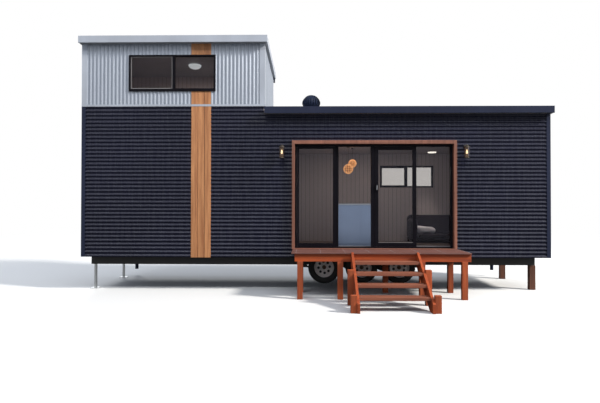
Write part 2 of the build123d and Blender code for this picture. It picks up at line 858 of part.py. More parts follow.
def wheel(x, y, outward):
    """A tyre on a steel rim with a ring of holes, its hub closed by a cap."""
    middle = Plane(origin=(x, y, axle_height), x_dir=(1, 0, 0), z_dir=(0, outward, 0))
    tread_half = tyre_width / 2 - tyre_shoulder
    with BuildPart() as made:
        with BuildSketch(middle.offset(-tread_half)):
            RegularPolygon(tyre_radius, wheel_flats)
        extrude(amount=2 * tread_half)
        for way in (1, -1):
            with BuildSketch(middle.offset(way * tread_half)):
                RegularPolygon(tyre_radius, wheel_flats)
            extrude(amount=way * tyre_shoulder, taper=40)
        with BuildSketch(middle.offset(-tyre_width / 2)):
            RegularPolygon(rim_radius + bead_gap, wheel_flats)
        extrude(amount=tyre_width, mode=Mode.SUBTRACT)
        with BuildSketch(middle.offset(-rim_width / 2)):
            RegularPolygon(rim_radius, wheel_flats)
            RegularPolygon(rim_radius - rim_wall, wheel_flats, mode=Mode.SUBTRACT)
        extrude(amount=rim_width)
        with BuildSketch(middle.offset(disc_offset)):
            RegularPolygon(rim_radius - rim_wall / 2, wheel_flats)
            with PolarLocations(wheel_hole_circle, wheel_holes):
                RegularPolygon(wheel_hole_radius, wheel_hole_flats, mode=Mode.SUBTRACT)
        extrude(amount=disc_thickness)
        with BuildSketch(middle.offset(-hub_length / 2)):
            Circle(hub_radius)
        extrude(amount=hub_length)
        with BuildSketch(middle.offset(-hub_length / 2)):
            Circle(spindle_radius + hub_clearance)
        extrude(amount=hub_length - hub_cap, mode=Mode.SUBTRACT)
    return made


for side_name, y, outward in (
    ("front", front + tyre_inset + tyre_width / 2, -1),
    ("back", back - tyre_inset - tyre_width / 2, 1),
):
    for number, x in enumerate(axle_lines, 1):
        save(wheel(x, y, outward), f"wheel_{side_name}_{number}")

# Legs at the left end and timber posts at the right end, under the rails
with BuildPart() as steadying_legs:
    for line, inward in rail_lines:
        with BuildSketch(Plane.XY):
            with Locations((left + rail_end_left + leg_foot / 2, line + inward * rail_width / 2)):
                Rectangle(leg_foot, leg_foot)
        extrude(amount=leg_plate)
        with BuildSketch(Plane.XY):
            with Locations((left + rail_end_left + leg_foot / 2, line + inward * rail_width / 2)):
                Rectangle(leg_size, leg_size)
        extrude(amount=rail_bottom)
save(steadying_legs, "steadying_legs")

with BuildPart() as support_posts:
    for line, inward in rail_lines:
        with BuildSketch(Plane.XY):
            with Locations((right - rail_end_right - support_post / 2, line + inward * rail_width / 2)):
                Rectangle(support_post, support_post)
        extrude(amount=rail_bottom)
save(support_posts, "support_posts")

# Turbine ventilator: a skirt on the roof ribs, a fixed throat with a spindle,
# and a head of curved vanes that spins on the spindle
vent_place = (left + vent_from_left, front + vent_from_front)
rib_tops = roof_underside(main_eave + (roof_thickness + rib_height) / cos(radians(roof_pitch)))
spindle_top = vent_top - crown_rise - 2 * vent_running_gap
with BuildPart() as vent_base:
    with BuildSketch(Plane.XY.offset(main_eave)):
        with Locations(vent_place):
            Circle(throat_radius)
            Circle(throat_radius - throat_wall, mode=Mode.SUBTRACT)
    extrude(amount=throat_top - main_eave)
    with BuildSketch(Plane.XY.offset(throat_top - 2 * vent_hub)):
        with Locations(vent_place):
            Rectangle(2 * throat_radius - throat_wall, 2 * spindle_rod)
    extrude(amount=vent_hub)
    with BuildSketch(Plane.XY.offset(throat_top - 2 * vent_hub)):
        with Locations(vent_place):
            Circle(spindle_rod)
    extrude(amount=spindle_top - throat_top + 2 * vent_hub)
    split(bisect_by=rib_tops, keep=Keep.TOP)
    skirt_z = rib_tops.origin.Z - vent_from_front * fall
    with BuildSketch(Plane(origin=(*vent_place, skirt_z), x_dir=(1, 0, 0), z_dir=rib_tops.z_dir)):
        Rectangle(vent_skirt, vent_skirt)
        Circle(throat_radius - throat_wall / 2, mode=Mode.SUBTRACT)
    extrude(amount=throat_wall)
save(vent_base, "vent_base")

rotor_bottom = throat_top + vent_running_gap
crown_bottom = vent_top - crown_rise
belly_rise = (crown_bottom - rotor_bottom) * 0.45
vane_inside = [
    (throat_radius - 2 * vane_metal, 0),
    (rotor_belly - 2 * vane_metal, belly_rise),
    (rotor_crown - 2 * vane_metal, crown_bottom - rotor_bottom),
]
with BuildPart() as vane:
    with BuildSketch(Plane(origin=(*vent_place, rotor_bottom), x_dir=(1, 0, 0), z_dir=(0, -1, 0))):
        with BuildLine():
            inner = ThreePointArc(*vane_inside)
            outer = ThreePointArc(*[(out + 2 * vane_metal, up) for out, up in vane_inside])
            Line(outer @ 0, inner @ 0)
            Line(outer @ 1, inner @ 1)
        make_face()
    revolve(
        axis=Axis((vent_place[0] + vane_offset, vent_place[1], 0), (0, 0, 1)),
        revolution_arc=vane_sweep,
    )

with BuildPart() as vent_rotor:
    with BuildSketch(Plane.XY.offset(rotor_bottom)):
        with Locations(vent_place):
            Circle(throat_radius + 2 * vane_metal)
            Circle(throat_radius - 5 * vane_metal, mode=Mode.SUBTRACT)
    extrude(amount=2 * vane_metal)
    with BuildSketch(Plane.XY.offset(crown_bottom - 2 * vane_metal)):
        with Locations(vent_place):
            Circle(rotor_crown + 2 * vane_metal)
    extrude(amount=2 * vane_metal)
    with BuildSketch(Plane.XY.offset(crown_bottom)):
        with Locations(vent_place):
            Circle(rotor_crown)
    extrude(amount=crown_rise, taper=60)
    with BuildSketch(Plane.XY.offset(rotor_bottom + belly_rise)):
        with Locations(vent_place):
            Circle(vent_hub)
    extrude(amount=crown_bottom - rotor_bottom - belly_rise)
    with BuildSketch(Plane.XY.offset(rotor_bottom + belly_rise)):
        with Locations(vent_place):
            Circle(spindle_rod + hub_clearance)
    extrude(amount=spindle_top + vent_running_gap - rotor_bottom - belly_rise, mode=Mode.SUBTRACT)
    for turn in range(vane_count):
        add(vane.part.rotate(Axis((*vent_place, 0), (0, 0, 1)), turn * 360 / vane_count))
save(vent_rotor, "vent_rotor")

# Lanterns beside the door: a wall plate, an arm, a cap and a glass jar
lantern_y = front - lantern_reach
with BuildPart() as lantern_brackets:
    for across in lantern_offsets:
        x = left + across
        arm_z = lantern_top - jar_radius / 2
        with BuildSketch(Plane(origin=(x, front, arm_z), x_dir=(1, 0, 0), z_dir=(0, -1, 0))):
            Circle(jar_radius * 0.7)
        extrude(amount=cladding / 2)
        with BuildSketch(Plane(origin=(x, front, arm_z), x_dir=(1, 0, 0), z_dir=(0, -1, 0))):
            Circle(jar_radius * 0.18)
        extrude(amount=lantern_reach)
        with BuildSketch(Plane.XY.offset(lantern_top - jar_radius)):
            with Locations((x, lantern_y)):
                Circle(jar_radius)
        extrude(amount=jar_radius, taper=20)
        with BuildSketch(Plane.XY.offset(lantern_top - lantern_height)):
            with Locations((x, lantern_y)):
                Circle(jar_radius * 0.95)
        extrude(amount=cladding / 2)
save(lantern_brackets, "lantern_brackets")

with BuildPart() as lantern_jars:
    jar_z = (lantern_top - lantern_height + cladding / 2, lantern_top - jar_radius)
    for across in lantern_offsets:
        with BuildSketch(Plane.XY.offset(jar_z[0])):
            with Locations((left + across, lantern_y)):
                Circle(jar_radius * 0.9)
                Circle(jar_radius * 0.9 - glass_thickness / 2, mode=Mode.SUBTRACT)
        extrude(amount=jar_z[1] - jar_z[0])
save(lantern_jars, "lantern_jars")

# Room fittings that show through the door
with BuildPart() as kitchen_bench:
    bench_x = (left + bench_left, left + bench_left + bench_length)
    bench_y = (front + bench_from_front, front + bench_from_front + bench_depth)
    bench_z = floor_height + bench_height
    block(bench_x, bench_y, (floor_height, bench_z - bench_top))
    block(
        (bench_x[0] - bench_top_lap, bench_x[1] + bench_top_lap),
        (bench_y[0] - bench_top_lap, bench_y[1] + bench_top_lap),
        (bench_z - bench_top, bench_z),
    )
save(kitchen_bench, "kitchen_bench")

with BuildPart() as pendant_lamps:
    for across, inwards, height, radius in pendants:
        place = (left + across, front + inwards, height)
        with Locations(place):
            Sphere(radius)
        with BuildSketch(Plane.XY.offset(height)):
            with Locations(place[:2]):
                Circle(pendant_stem)
        extrude(amount=ceiling - height)
save(pendant_lamps, "pendant_lamps")

with BuildPart() as ceiling_lamps:
    for across, inwards in ceiling_lights:
        with BuildSketch(Plane.XY.offset(ceiling - ceiling_light_depth)):
            with Locations((left + across, front + inwards)):
                Circle(ceiling_light_radius)
        extrude(amount=ceiling_light_depth)
    bowl = (loft_light_radius**2 + loft_light_depth**2) / (2 * loft_light_depth)
    bowl_z = loft_eave - loft_light[1] * fall + bowl - loft_light_depth
    with Locations((left + loft_light[0], front + loft_light[1], bowl_z)):
        Sphere(bowl)
    split(bisect_by=roof_underside(loft_eave), keep=Keep.BOTTOM)
save(ceiling_lamps, "ceiling_lamps")

with BuildPart() as sofa:
    sofa_x = (left + sofa_left, left + sofa_left + sofa_length)
    sofa_y = (inside_back - sofa_wall_gap - sofa_depth, inside_back - sofa_wall_gap)
    sofa_z = (floor_height + sofa_leg, floor_height + sofa_back_height)
    seat_z = floor_height + sofa_seat_height
    seat_back = sofa_y[1] - sofa_arm
    block(sofa_x, sofa_y, sofa_z)
    fillet(sofa.edges().filter_by(Axis.Y).group_by(Axis.Z)[-1], sofa_arm / 2)
    seat_x = (sofa_x[0] + sofa_arm, sofa_x[1] - sofa_arm)
    block(seat_x, (sofa_y[0], seat_back), (seat_z, sofa_z[1]), mode=Mode.SUBTRACT)
    block(sofa_x, (sofa_y[0], seat_back), (sofa_z[1] - sofa_arm / 2, sofa_z[1]), mode=Mode.SUBTRACT)
    for foot_x in (sofa_x[0] + sofa_leg, sofa_x[1] - 2 * sofa_leg):
        for foot_y in (sofa_y[0] + sofa_leg, sofa_y[1] - 2 * sofa_leg):
            block((foot_x, foot_x + sofa_leg), (foot_y, foot_y + sofa_leg), (floor_height, sofa_z[0]))
save(sofa, "sofa")

with BuildPart() as sofa_cushion:
    cushion_x = (left + cushion_left, left + cushion_left + cushion_width)
    block(cushion_x, (seat_back - cushion_depth, seat_back), (seat_z, seat_z + cushion_height))
    fillet(sofa_cushion.edges().filter_by(Axis.Y), cushion_depth / 4)
save(sofa_cushion, "sofa_cushion")
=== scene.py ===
from math import cos, dist, pi, radians, sin, tan

import bmesh
import bpy
from mathutils import Matrix, Vector
from mathutils.bvhtree import BVHTree


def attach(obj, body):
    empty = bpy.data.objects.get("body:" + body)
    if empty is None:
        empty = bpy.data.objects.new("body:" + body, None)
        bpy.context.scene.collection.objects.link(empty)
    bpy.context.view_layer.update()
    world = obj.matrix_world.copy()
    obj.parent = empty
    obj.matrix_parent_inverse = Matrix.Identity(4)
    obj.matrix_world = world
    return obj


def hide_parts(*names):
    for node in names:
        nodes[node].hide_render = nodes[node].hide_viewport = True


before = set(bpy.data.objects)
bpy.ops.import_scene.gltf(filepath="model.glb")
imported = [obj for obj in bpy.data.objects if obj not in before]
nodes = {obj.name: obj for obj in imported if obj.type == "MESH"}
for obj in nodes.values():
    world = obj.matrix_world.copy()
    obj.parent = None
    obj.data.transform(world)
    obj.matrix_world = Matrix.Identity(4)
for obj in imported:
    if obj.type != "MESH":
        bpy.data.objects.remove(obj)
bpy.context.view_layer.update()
scene = bpy.context.scene

# Places in metres, as in the part's source: across from the left wall, inward from
# the front, and up from the ground
LEFT = -4.65
FRONT = -0.1925
DEPTH = 2.4
BACK = FRONT + DEPTH
RIGHT = LEFT + 9.3
LOFT_WIDE = 3.67
PITCH = 0.0762
WAVE = 0.016
CREST = PITCH / 8
FALL = tan(radians(2.3))
FLOOR = 0.86
SKIRT = 0.677
LOFT_BASE = 3.7
MAIN_EAVE = 3.525
LOFT_EAVE = 4.937
ROOF_THICK = 0.12
STRIP = (2.198, 2.597)
DOOR_GAP = (4.212, 7.452)
DOOR_TOP = 2.99
DECK_TOP = 0.845
CEILING = 2.96
LOFT_WINDOW = (0.951, 2.687, 3.981, 4.709)
BACK_WINDOW = (6.262, 7.552, 2.15, 2.68)
VENT = (4.595, 0.8)
AXIS = 0.0001  # a turned profile ends this close to its axis


# Shader nodes

def shade(colour, factor):
    """A colour made darker or lighter, but no lighter than white."""
    return tuple(min(1, part * factor) for part in colour)


def put(tree, socket, value):
    """Sets a socket to a number or colour, or links an output to it."""
    if isinstance(value, bpy.types.NodeSocket):
        tree.links.new(value, socket)
    elif socket.type == "RGBA":
        socket.default_value = (*value, 1)
    else:
        socket.default_value = value


def give(tree, made, **inputs):
    """Sets a node's inputs; an underscore in a name stands for a space."""
    for name, value in inputs.items():
        put(tree, made.inputs[name.replace("_", " ")], value)


def node(tree, kind, setting=None, **inputs):
    """The outputs of a new shader node; setting is an (attribute, value) pair."""
    made = tree.nodes.new("ShaderNode" + kind)
    if setting:
        setattr(made, *setting)
    give(tree, made, **inputs)
    return made.outputs


def math_node(tree, operation, first, second=0.5):
    """A sum, difference or other value worked out by the shader."""
    made = tree.nodes.new("ShaderNodeMath")
    made.operation = operation
    put(tree, made.inputs[0], first)
    put(tree, made.inputs[1], second)
    return made.outputs["Value"]


def mix(tree, factor, first, second, mode="MIX"):
    """Two colours mixed; inputs 0, 6 and 7 are the factor and the colours."""
    made = tree.nodes.new("ShaderNodeMix")
    made.data_type = "RGBA"
    made.blend_type = mode
    for index, value in ((0, factor), (6, first), (7, second)):
        put(tree, made.inputs[index], value)
    return made.outputs[2]


def mix_shaders(tree, factor, first, second):
    """The shader between two others."""
    made = tree.nodes.new("ShaderNodeMixShader")
    for socket, value in zip(made.inputs, (factor, first, second)):
        put(tree, socket, value)
    return made.outputs["Shader"]


def coordinates(tree, stretch=(1, 1, 1)):
    """Object coordinates stretched on each axis."""
    where = node(tree, "TexCoord")["Object"]
    return node(tree, "Mapping", Vector=where, Scale=stretch)["Vector"]


def noise(tree, scale, detail, rough=0.55, stretch=(1, 1, 1)):
    """Soft noise in the object's own coordinates."""
    at = coordinates(tree, stretch)
    return node(tree, "TexNoise", Vector=at, Scale=scale, Detail=detail, Roughness=rough)["Fac"]


def ramp(tree, source, colours, places=(0.3, 0.7)):
    """Colours at places along a value."""
    made = tree.nodes.new("ShaderNodeValToRGB")
    points = made.color_ramp.elements
    while len(points) < len(colours):
        points.new(0.5)
    for point, place, colour in zip(points, places, colours):
        point.position = place
        point.color = (*colour, 1)
    give(tree, made, Fac=source)
    return made.outputs["Color"]


def spread(tree, source, low, high, start=0.3, stop=0.7):
    """A value between start and stop laid out from low to high."""
    limits = {"From_Min": start, "From_Max": stop, "To_Min": low, "To_Max": high}
    return node(tree, "MapRange", Value=source, **limits)["Result"]


def bump(tree, shader, source, strength, distance=0.001):
    """Fine relief on a shader."""
    relief = node(tree, "Bump", Height=source, Strength=strength, Distance=distance)
    give(tree, shader, Normal=relief["Normal"])


# Materials

def new_material(name):
    """An empty node material with its tree and its shader."""
    made = bpy.data.materials.new(name)
    made.use_nodes = True
    return made, made.node_tree, made.node_tree.nodes["Principled BSDF"]


def coated_steel(name, colour, rough, dust, amount, gloss=0.6):
    """Painted sheet with dust, faint streaks down it and a fine texture."""
    made, tree, shader = new_material(name)
    streak = noise(tree, 2.2, 5, 0.65, (9, 9, 0.7))
    paint = ramp(tree, noise(tree, 0.9, 3), (shade(colour, 0.86), shade(colour, 1.14)))
    dusty = mix(tree, spread(tree, streak, 0, amount, 0.42, 0.78), paint, dust)
    sheen = spread(tree, streak, rough, rough + 0.1)
    give(tree, shader, Base_Color=dusty, Roughness=sheen, Specular_IOR_Level=gloss)
    bump(tree, shader, noise(tree, 160, 3), 0.012)
    return made


def bare_steel(name, colour, rough, metallic=0.8):
    """Zinc coated sheet with its spangle and long faint stains."""
    made, tree, shader = new_material(name)
    cells = node(tree, "TexVoronoi", Vector=coordinates(tree), Scale=90)["Color"]
    stain = noise(tree, 2.5, 5, 0.6, (7, 7, 0.6))
    spangle = ramp(tree, cells, (shade(colour, 0.93), shade(colour, 1.06)), (0.2, 0.8))
    stained = mix(tree, spread(tree, stain, 0, 0.3, 0.4, 0.8), spangle, shade(colour, 0.72))
    sheen = spread(tree, stain, rough, rough + 0.18)
    give(tree, shader, Base_Color=stained, Roughness=sheen, Metallic=metallic)
    bump(tree, shader, stain, 0.05)
    return made


def timber(name, light, dark, along, rough=0.55, board_shift=0.35):
    """Wood with its grain along one axis, a tone for each board, and pores."""
    def stretch(length, width):
        return tuple(length if axis == along else width for axis in range(3))

    made, tree, shader = new_material(name)
    slow = noise(tree, 1, 6, 0.62, stretch(1.2, 22))
    fine = noise(tree, 1.6, 3, 0.6, stretch(4, 130))
    middle = tuple((a + b) / 2 for a, b in zip(light, dark))
    grain = ramp(tree, slow, (dark, middle, light), (0.3, 0.52, 0.72))
    island = node(tree, "NewGeometry")["Random Per Island"]
    board = ramp(tree, island, ((1 - board_shift,) * 3, (1, 1, 1)), (0, 1))
    toned = mix(tree, 1, grain, board, "MULTIPLY")
    pores = mix(tree, spread(tree, fine, 0, 0.45, 0.5, 0.8), toned, shade(dark, 0.45))
    give(tree, shader, Base_Color=pores, Roughness=spread(tree, slow, rough, rough + 0.15))
    bump(tree, shader, fine, 0.25, 0.0015)
    return made


def plain_coat(name, colour, rough, speckle=0.1, metallic=0, grain=220, gloss=0.5):
    """Paint or powder coat with a fine texture and slight wear."""
    made, tree, shader = new_material(name)
    cloud = noise(tree, 3, 4)
    tone = ramp(tree, cloud, (shade(colour, 1 - speckle), shade(colour, 1 + speckle)))
    give(tree, shader, Base_Color=tone, Roughness=spread(tree, cloud, rough, rough + 0.1),
         Metallic=metallic, Specular_IOR_Level=gloss)
    bump(tree, shader, noise(tree, grain, 2), 0.08)
    return made


def board_lining(name, colour, pitch=0.1):
    """Painted upright lining boards with a narrow groove at each joint."""
    made, tree, shader = new_material(name)
    parts = node(tree, "SeparateXYZ", Vector=node(tree, "TexCoord")["Object"])
    both = math_node(tree, "ADD", parts["X"], parts["Y"])
    turn = math_node(tree, "FRACT", math_node(tree, "DIVIDE", both, pitch))
    edge = math_node(tree, "ABSOLUTE", math_node(tree, "SUBTRACT", turn, 0.5))
    groove = spread(tree, edge, 0, 1, 0.455, 0.475)
    cloud = noise(tree, 2.5, 4, stretch=(1, 1, 0.4))
    tone = ramp(tree, cloud, (shade(colour, 0.94), colour))
    give(tree, shader, Base_Color=mix(tree, groove, tone, shade(colour, 0.35)), Roughness=0.6)
    bump(tree, shader, math_node(tree, "SUBTRACT", 1, groove), 0.6, 0.003)
    return made


def glass(name, tint, painted_glow=0):
    """Thin clear pane: mostly see-through, with a gloss that grows at a slant."""
    made, tree, shader = new_material(name)
    tree.nodes.remove(shader)
    ripple = node(tree, "Bump", Height=noise(tree, 1.4, 2), Strength=0.04)["Normal"]
    clear = node(tree, "BsdfTransparent", Color=tint)["BSDF"]
    gloss = node(tree, "BsdfGlossy", Color=(0.22, 0.22, 0.28), Roughness=0.02, Normal=ripple)
    slant = node(tree, "Fresnel", IOR=1.5)["Fac"]
    surface = mix_shaders(tree, slant, clear, gloss["BSDF"])
    # painted glow: a faint warm emission in the glass stands for the lamp's light held in it
    if painted_glow:
        painted_glow_emission = node(tree, "Emission", Color=(1, 0.62, 0.34), Strength=painted_glow)
        total = tree.nodes.new("ShaderNodeAddShader")
        put(tree, total.inputs[0], surface)
        put(tree, total.inputs[1], painted_glow_emission["Emission"])
        surface = total.outputs["Shader"]
    give(tree, tree.nodes["Material Output"], Surface=surface)
    return made


def glow(name, colour, strength, body=(0.9, 0.85, 0.75)):
    """A lit diffuser with slightly uneven light."""
    made, tree, shader = new_material(name)
    tone = ramp(tree, noise(tree, 20, 2), (shade(colour, 0.85), colour))
    give(tree, shader, Emission_Color=tone, Emission_Strength=strength,
         Base_Color=body, Roughness=0.5)
    return made


def cloth(name, colour, threads=70, fuzz=0.3):
    """Woven cloth with crossing threads and soft fuzz."""
    made, tree, shader = new_material(name)
    crossed = mix(tree, 0.5, *(
        node(tree, "TexWave", ("bands_direction", direction), Vector=coordinates(tree),
             Scale=threads, Distortion=0.6)["Fac"] for direction in ("X", "Z")))
    tone = ramp(tree, noise(tree, 9, 4), (shade(colour, 0.8), shade(colour, 1.2)))
    woven = mix(tree, 0.25, tone, crossed, "MULTIPLY")
    give(tree, shader, Base_Color=woven, Roughness=0.9, Sheen_Weight=fuzz)
    bump(tree, shader, crossed, 0.3)
    return made


ALONG_X, ALONG_Y, ALONG_Z = 0, 1, 2
DECK_TONES = ((0.56, 0.098, 0.014), (0.28, 0.041, 0.008))
steel_dark = coated_steel("dark_sheet", (0.01, 0.011, 0.026), 0.22, (0.05, 0.05, 0.08), 0.05, 0.25)
trim_dark = coated_steel("dark_folded_trim", (0.018, 0.023, 0.048), 0.36, (0.08, 0.08, 0.1), 0.06, 0.15)
steel_zinc = bare_steel("zinc_sheet", (0.34, 0.375, 0.435), 0.28, 0.38)
trim_pale = coated_steel("pale_folded_trim", (0.44, 0.47, 0.525), 0.4, (0.36, 0.35, 0.34), 0.12, 0.3)
roof_sheet = coated_steel("roof_sheet", (0.36, 0.38, 0.4), 0.4, (0.28, 0.25, 0.2), 0.2)
cedar = timber("cedar_boards", (0.76, 0.35, 0.145), (0.39, 0.145, 0.052), ALONG_Z, board_shift=0.34)
surround_wood = timber("surround_wood", (0.39, 0.155, 0.098), (0.2, 0.074, 0.044), ALONG_Z)
# The deck boards' colour is their reddish timber, partly darkened and tinted blue as painted shade
board_wood_painted_shade = timber("deck_board_timber_painted_shade", (0.23, 0.098, 0.078), (0.125, 0.048, 0.037), ALONG_X)
deck_wood = timber("deck_wood", *DECK_TONES, ALONG_X, 0.6)
deck_wood_up = timber("deck_wood_upright", (0.6, 0.125, 0.03), (0.29, 0.052, 0.014), ALONG_Z, 0.6)
deck_wood_out = timber("deck_wood_outward", *DECK_TONES, ALONG_Y, 0.6)
tread_wood = timber("stair_tread_wood", (0.37, 0.12, 0.062), (0.19, 0.058, 0.03), ALONG_X, 0.6)
old_wood = timber("weathered_posts", (0.22, 0.075, 0.035), (0.1, 0.034, 0.018), ALONG_Z)
floor_wood = timber("room_floor_boards", (0.33, 0.255, 0.22), (0.2, 0.15, 0.125), ALONG_X, 0.5)
leg_wood = timber("sofa_leg_wood", (0.12, 0.06, 0.03), (0.05, 0.025, 0.012), ALONG_Z)
lining = board_lining("painted_lining", (0.56, 0.485, 0.46))
black_section = plain_coat("black_powder_coat", (0.0055, 0.0048, 0.0075), 0.38, 0.15, gloss=0.06)
chassis_black = plain_coat("black_chassis", (0.02, 0.02, 0.022), 0.5, 0.3, 0, 60)
zinc_dip = bare_steel("galvanised_steel", (0.52, 0.54, 0.55), 0.42)
pane = glass("clear_pane", (0.84, 0.83, 0.82))
# The lantern glass carries a faint painted glow of its bulb's light
jar_glass = glass("lantern_glass", (0.95, 0.92, 0.86), 0.022)
vent_coat = plain_coat("vent_coat", (0.011, 0.017, 0.038), 0.5, 0.2, gloss=0.1)
lamp_metal = plain_coat("lantern_bronze", (0.034, 0.026, 0.02), 0.45, 0.3, 0.2)
bulb_glow = glow("lantern_bulb", (1, 0.76, 0.46), 1.7)
bench_blue = plain_coat("bench_front", (0.57, 0.69, 0.91), 0.5, 0.04)
bench_top = plain_coat("bench_top", (0.8, 0.82, 0.84), 0.3, 0.03)
lamp_glow = glow("lamp_diffuser", (1, 0.95, 0.86), 1.6)
lamp_cool = glow("lamp_cool_bowl", (0.8, 0.9, 0.96), 0.62)
bead_grey = plain_coat("bead_grey", (0.22, 0.21, 0.21), 0.4, 0.1, 0.3)
handle_grey = plain_coat("pull_grey", (0.42, 0.44, 0.46), 0.35, 0.1, 0.5)
hub_bronze = plain_coat("hub_bronze", (0.1, 0.062, 0.038), 0.45, 0.3, 0.5)
pendant_amber = glow("pendant_amber", (1, 0.52, 0.22), 0.72, (0.75, 0.34, 0.1))
pendant_core = glow("pendant_core", (1, 0.42, 0.12), 0.1, (0.4, 0.2, 0.08))
sofa_cloth = cloth("sofa_cloth", (0.015, 0.009, 0.012), fuzz=0.05)
seam_cloth = cloth("seam_cloth", (0.024, 0.016, 0.02), 100, 0.1)
cushion_cloth = cloth("cushion_cloth", (0.94, 0.83, 0.88))
rubber = plain_coat("tyre_rubber", (0.018, 0.018, 0.018), 0.75, 0.3)
rim_paint = plain_coat("rim_paint", (0.78, 0.73, 0.7), 0.35, 0.12, 0.1)

# Finishes of the CAD nodes that show as they are
for made, names in (
    (chassis_black, "chassis_rails floor_joists axles suspension"),
    (floor_wood, "floor"),
    (lining, "front_wall_left front_wall_right front_wall_over_door back_wall end_walls ceiling"),
    (lining, "loft_floor loft_front_wall loft_back_wall loft_side_walls"),
    (trim_dark, "corner_flashings main_roof_fascia rear_drainage"),
    (trim_pale, "loft_flashings loft_roof_fascia"),
    (roof_sheet, "main_roof loft_roof"),
    (cedar, "timber_strip"),
    (black_section, "window_frames door_frame left_sash right_sash"),
    (pane, "fixed_glass left_sash_glass right_sash_glass"),
    (surround_wood, "door_surround"),
    (board_wood_painted_shade, "deck_boards"),
    (deck_wood, "deck_frame"),
    (deck_wood_out, "deck_joists stair_stringers"),
    (deck_wood_up, "deck_posts stair_posts"),
    (tread_wood, "stair_treads"),
    (zinc_dip, "steadying_legs"),
    (old_wood, "support_posts"),
    (vent_coat, "vent_base"),
):
    for name in names.split():
        mesh = nodes[name].data
        mesh.materials.clear()
        mesh.materials.append(made)


# Mesh helpers

def placed(name, data, place=(0, 0, 0)):
    """An object for some data, linked to the scene."""
    obj = bpy.data.objects.new(name, data)
    scene.collection.objects.link(obj)
    obj.location = place
    return obj


def modify(obj, kind, **settings):
    """Adds a modifier with its settings."""
    made = obj.modifiers.new(kind.lower(), kind)
    for name, value in settings.items():
        setattr(made, name, value)


def evaluated(obj):
    """The object as its modifiers leave it."""
    return obj.evaluated_get(bpy.context.evaluated_depsgraph_get())


def circle(count, shift=0):
    """Angles spaced evenly round a circle."""
    return [2 * pi * (turn + shift) / count for turn in range(count)]


def moved(part, shift):
    """A (vertices, faces) part moved by a shift."""
    return [tuple(a + b for a, b in zip(vertex, shift)) for vertex in part[0]], part[1]


def merged(parts):
    """One (vertices, faces) part from several."""
    verts, faces = [], []
    for part_verts, part_faces in parts:
        first = len(verts)
        verts += part_verts
        faces += [tuple(first + i for i in face) for face in part_faces]
    return verts, faces


def grid(points, columns):
    """A part with four-sided faces between rows of points."""
    starts = [row + column for row in range(0, len(points) - columns, columns)
              for column in range(columns - 1)]
    return points, [(a, a + 1, a + columns + 1, a + columns) for a in starts]


def solid(name, verts, faces, made, body="house", place=(0, 0, 0), smooth=False):
    """A mesh object with one material that rides on a body."""
    mesh = bpy.data.meshes.new(name)
    mesh.from_pydata(verts, [], faces)
    mesh.materials.append(made)
    mesh.polygons.foreach_set("use_smooth", [smooth] * len(mesh.polygons))
    mesh.update()
    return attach(placed(name, mesh, place), body)


def mark_sharp(mesh, angle=radians(35)):
    """Keeps hard edges at open borders and where faces meet at more than an angle."""
    work = bmesh.new()
    work.from_mesh(mesh)
    for edge in work.edges:
        if edge.is_boundary or edge.calc_face_angle(0) > angle:
            edge.smooth = False
    work.to_mesh(mesh)
    work.free()


# Camera, solved from the photo
camera_data = bpy.data.cameras.new("camera")
camera_data.lens = 31.19
camera_data.sensor_width = 36
camera_data.sensor_fit = "HORIZONTAL"
camera_data.clip_end = 300
camera = placed("camera", camera_data)
camera_place = Matrix.Translation((LEFT + 4.567, FRONT - 10.306, 1.663))
yaw, tilt, roll = 0.0189, 0.0117, 0.0012
ahead = Vector((-sin(yaw) * cos(tilt), cos(yaw) * cos(tilt), sin(tilt)))
level = Vector((cos(yaw), sin(yaw), 0))
upward = level.cross(ahead)
across = level * cos(roll) + upward * sin(roll)
above = upward * cos(roll) - level * sin(roll)
camera.matrix_world = camera_place @ Matrix((across, above, -ahead)).transposed().to_4x4()
scene.camera = camera


# Corrugated sheets, cut round the openings
WAVE_STEPS = 12
SHEET_INSET = 0.0006
SHEET_THICK = 0.0009


def wave_sheet(name, origin, along, wide, inward, panels, made):
    """Waves that repeat in the wide direction and run straight along the other.

    Each panel is (start, stop, low, high): its ends along the waves, then across them.
    """
    origin, along, wide, inward = (Vector(v) for v in (origin, along, wide, inward))
    parts = []
    for start, stop, low, high in panels:
        cuts = [low]
        turn = int(low / PITCH * WAVE_STEPS) + 1
        while turn * PITCH / WAVE_STEPS < high:
            cuts.append(turn * PITCH / WAVE_STEPS)
            turn += 1
        points = []
        for cut in cuts + [high]:
            depth = WAVE / 2 * (1 - cos(2 * pi * (cut - CREST) / PITCH))
            for end in (start, stop):
                reach = end(cut) if callable(end) else end
                points.append(origin + along * reach + wide * cut + inward * (depth + SHEET_INSET))
        parts.append(grid(points, 2))
    sheet = solid(name, *merged(parts), made, smooth=True)
    mark_sharp(sheet.data)
    modify(sheet, "SOLIDIFY", thickness=SHEET_THICK, offset=0)
    return sheet


def end_reach(cut):
    """How far back the right end's sheet reaches at a height under the roof."""
    return max(0, min(DEPTH, (MAIN_EAVE - cut) / FALL))


def under_loft_roof(cut):
    """Height of the loft roof's underside at a distance behind the front."""
    return LOFT_EAVE - cut * FALL


def over_main_roof(cut):
    """Height of the main roof's ribs at a distance behind the front."""
    return MAIN_EAVE + ROOF_THICK - cut * FALL


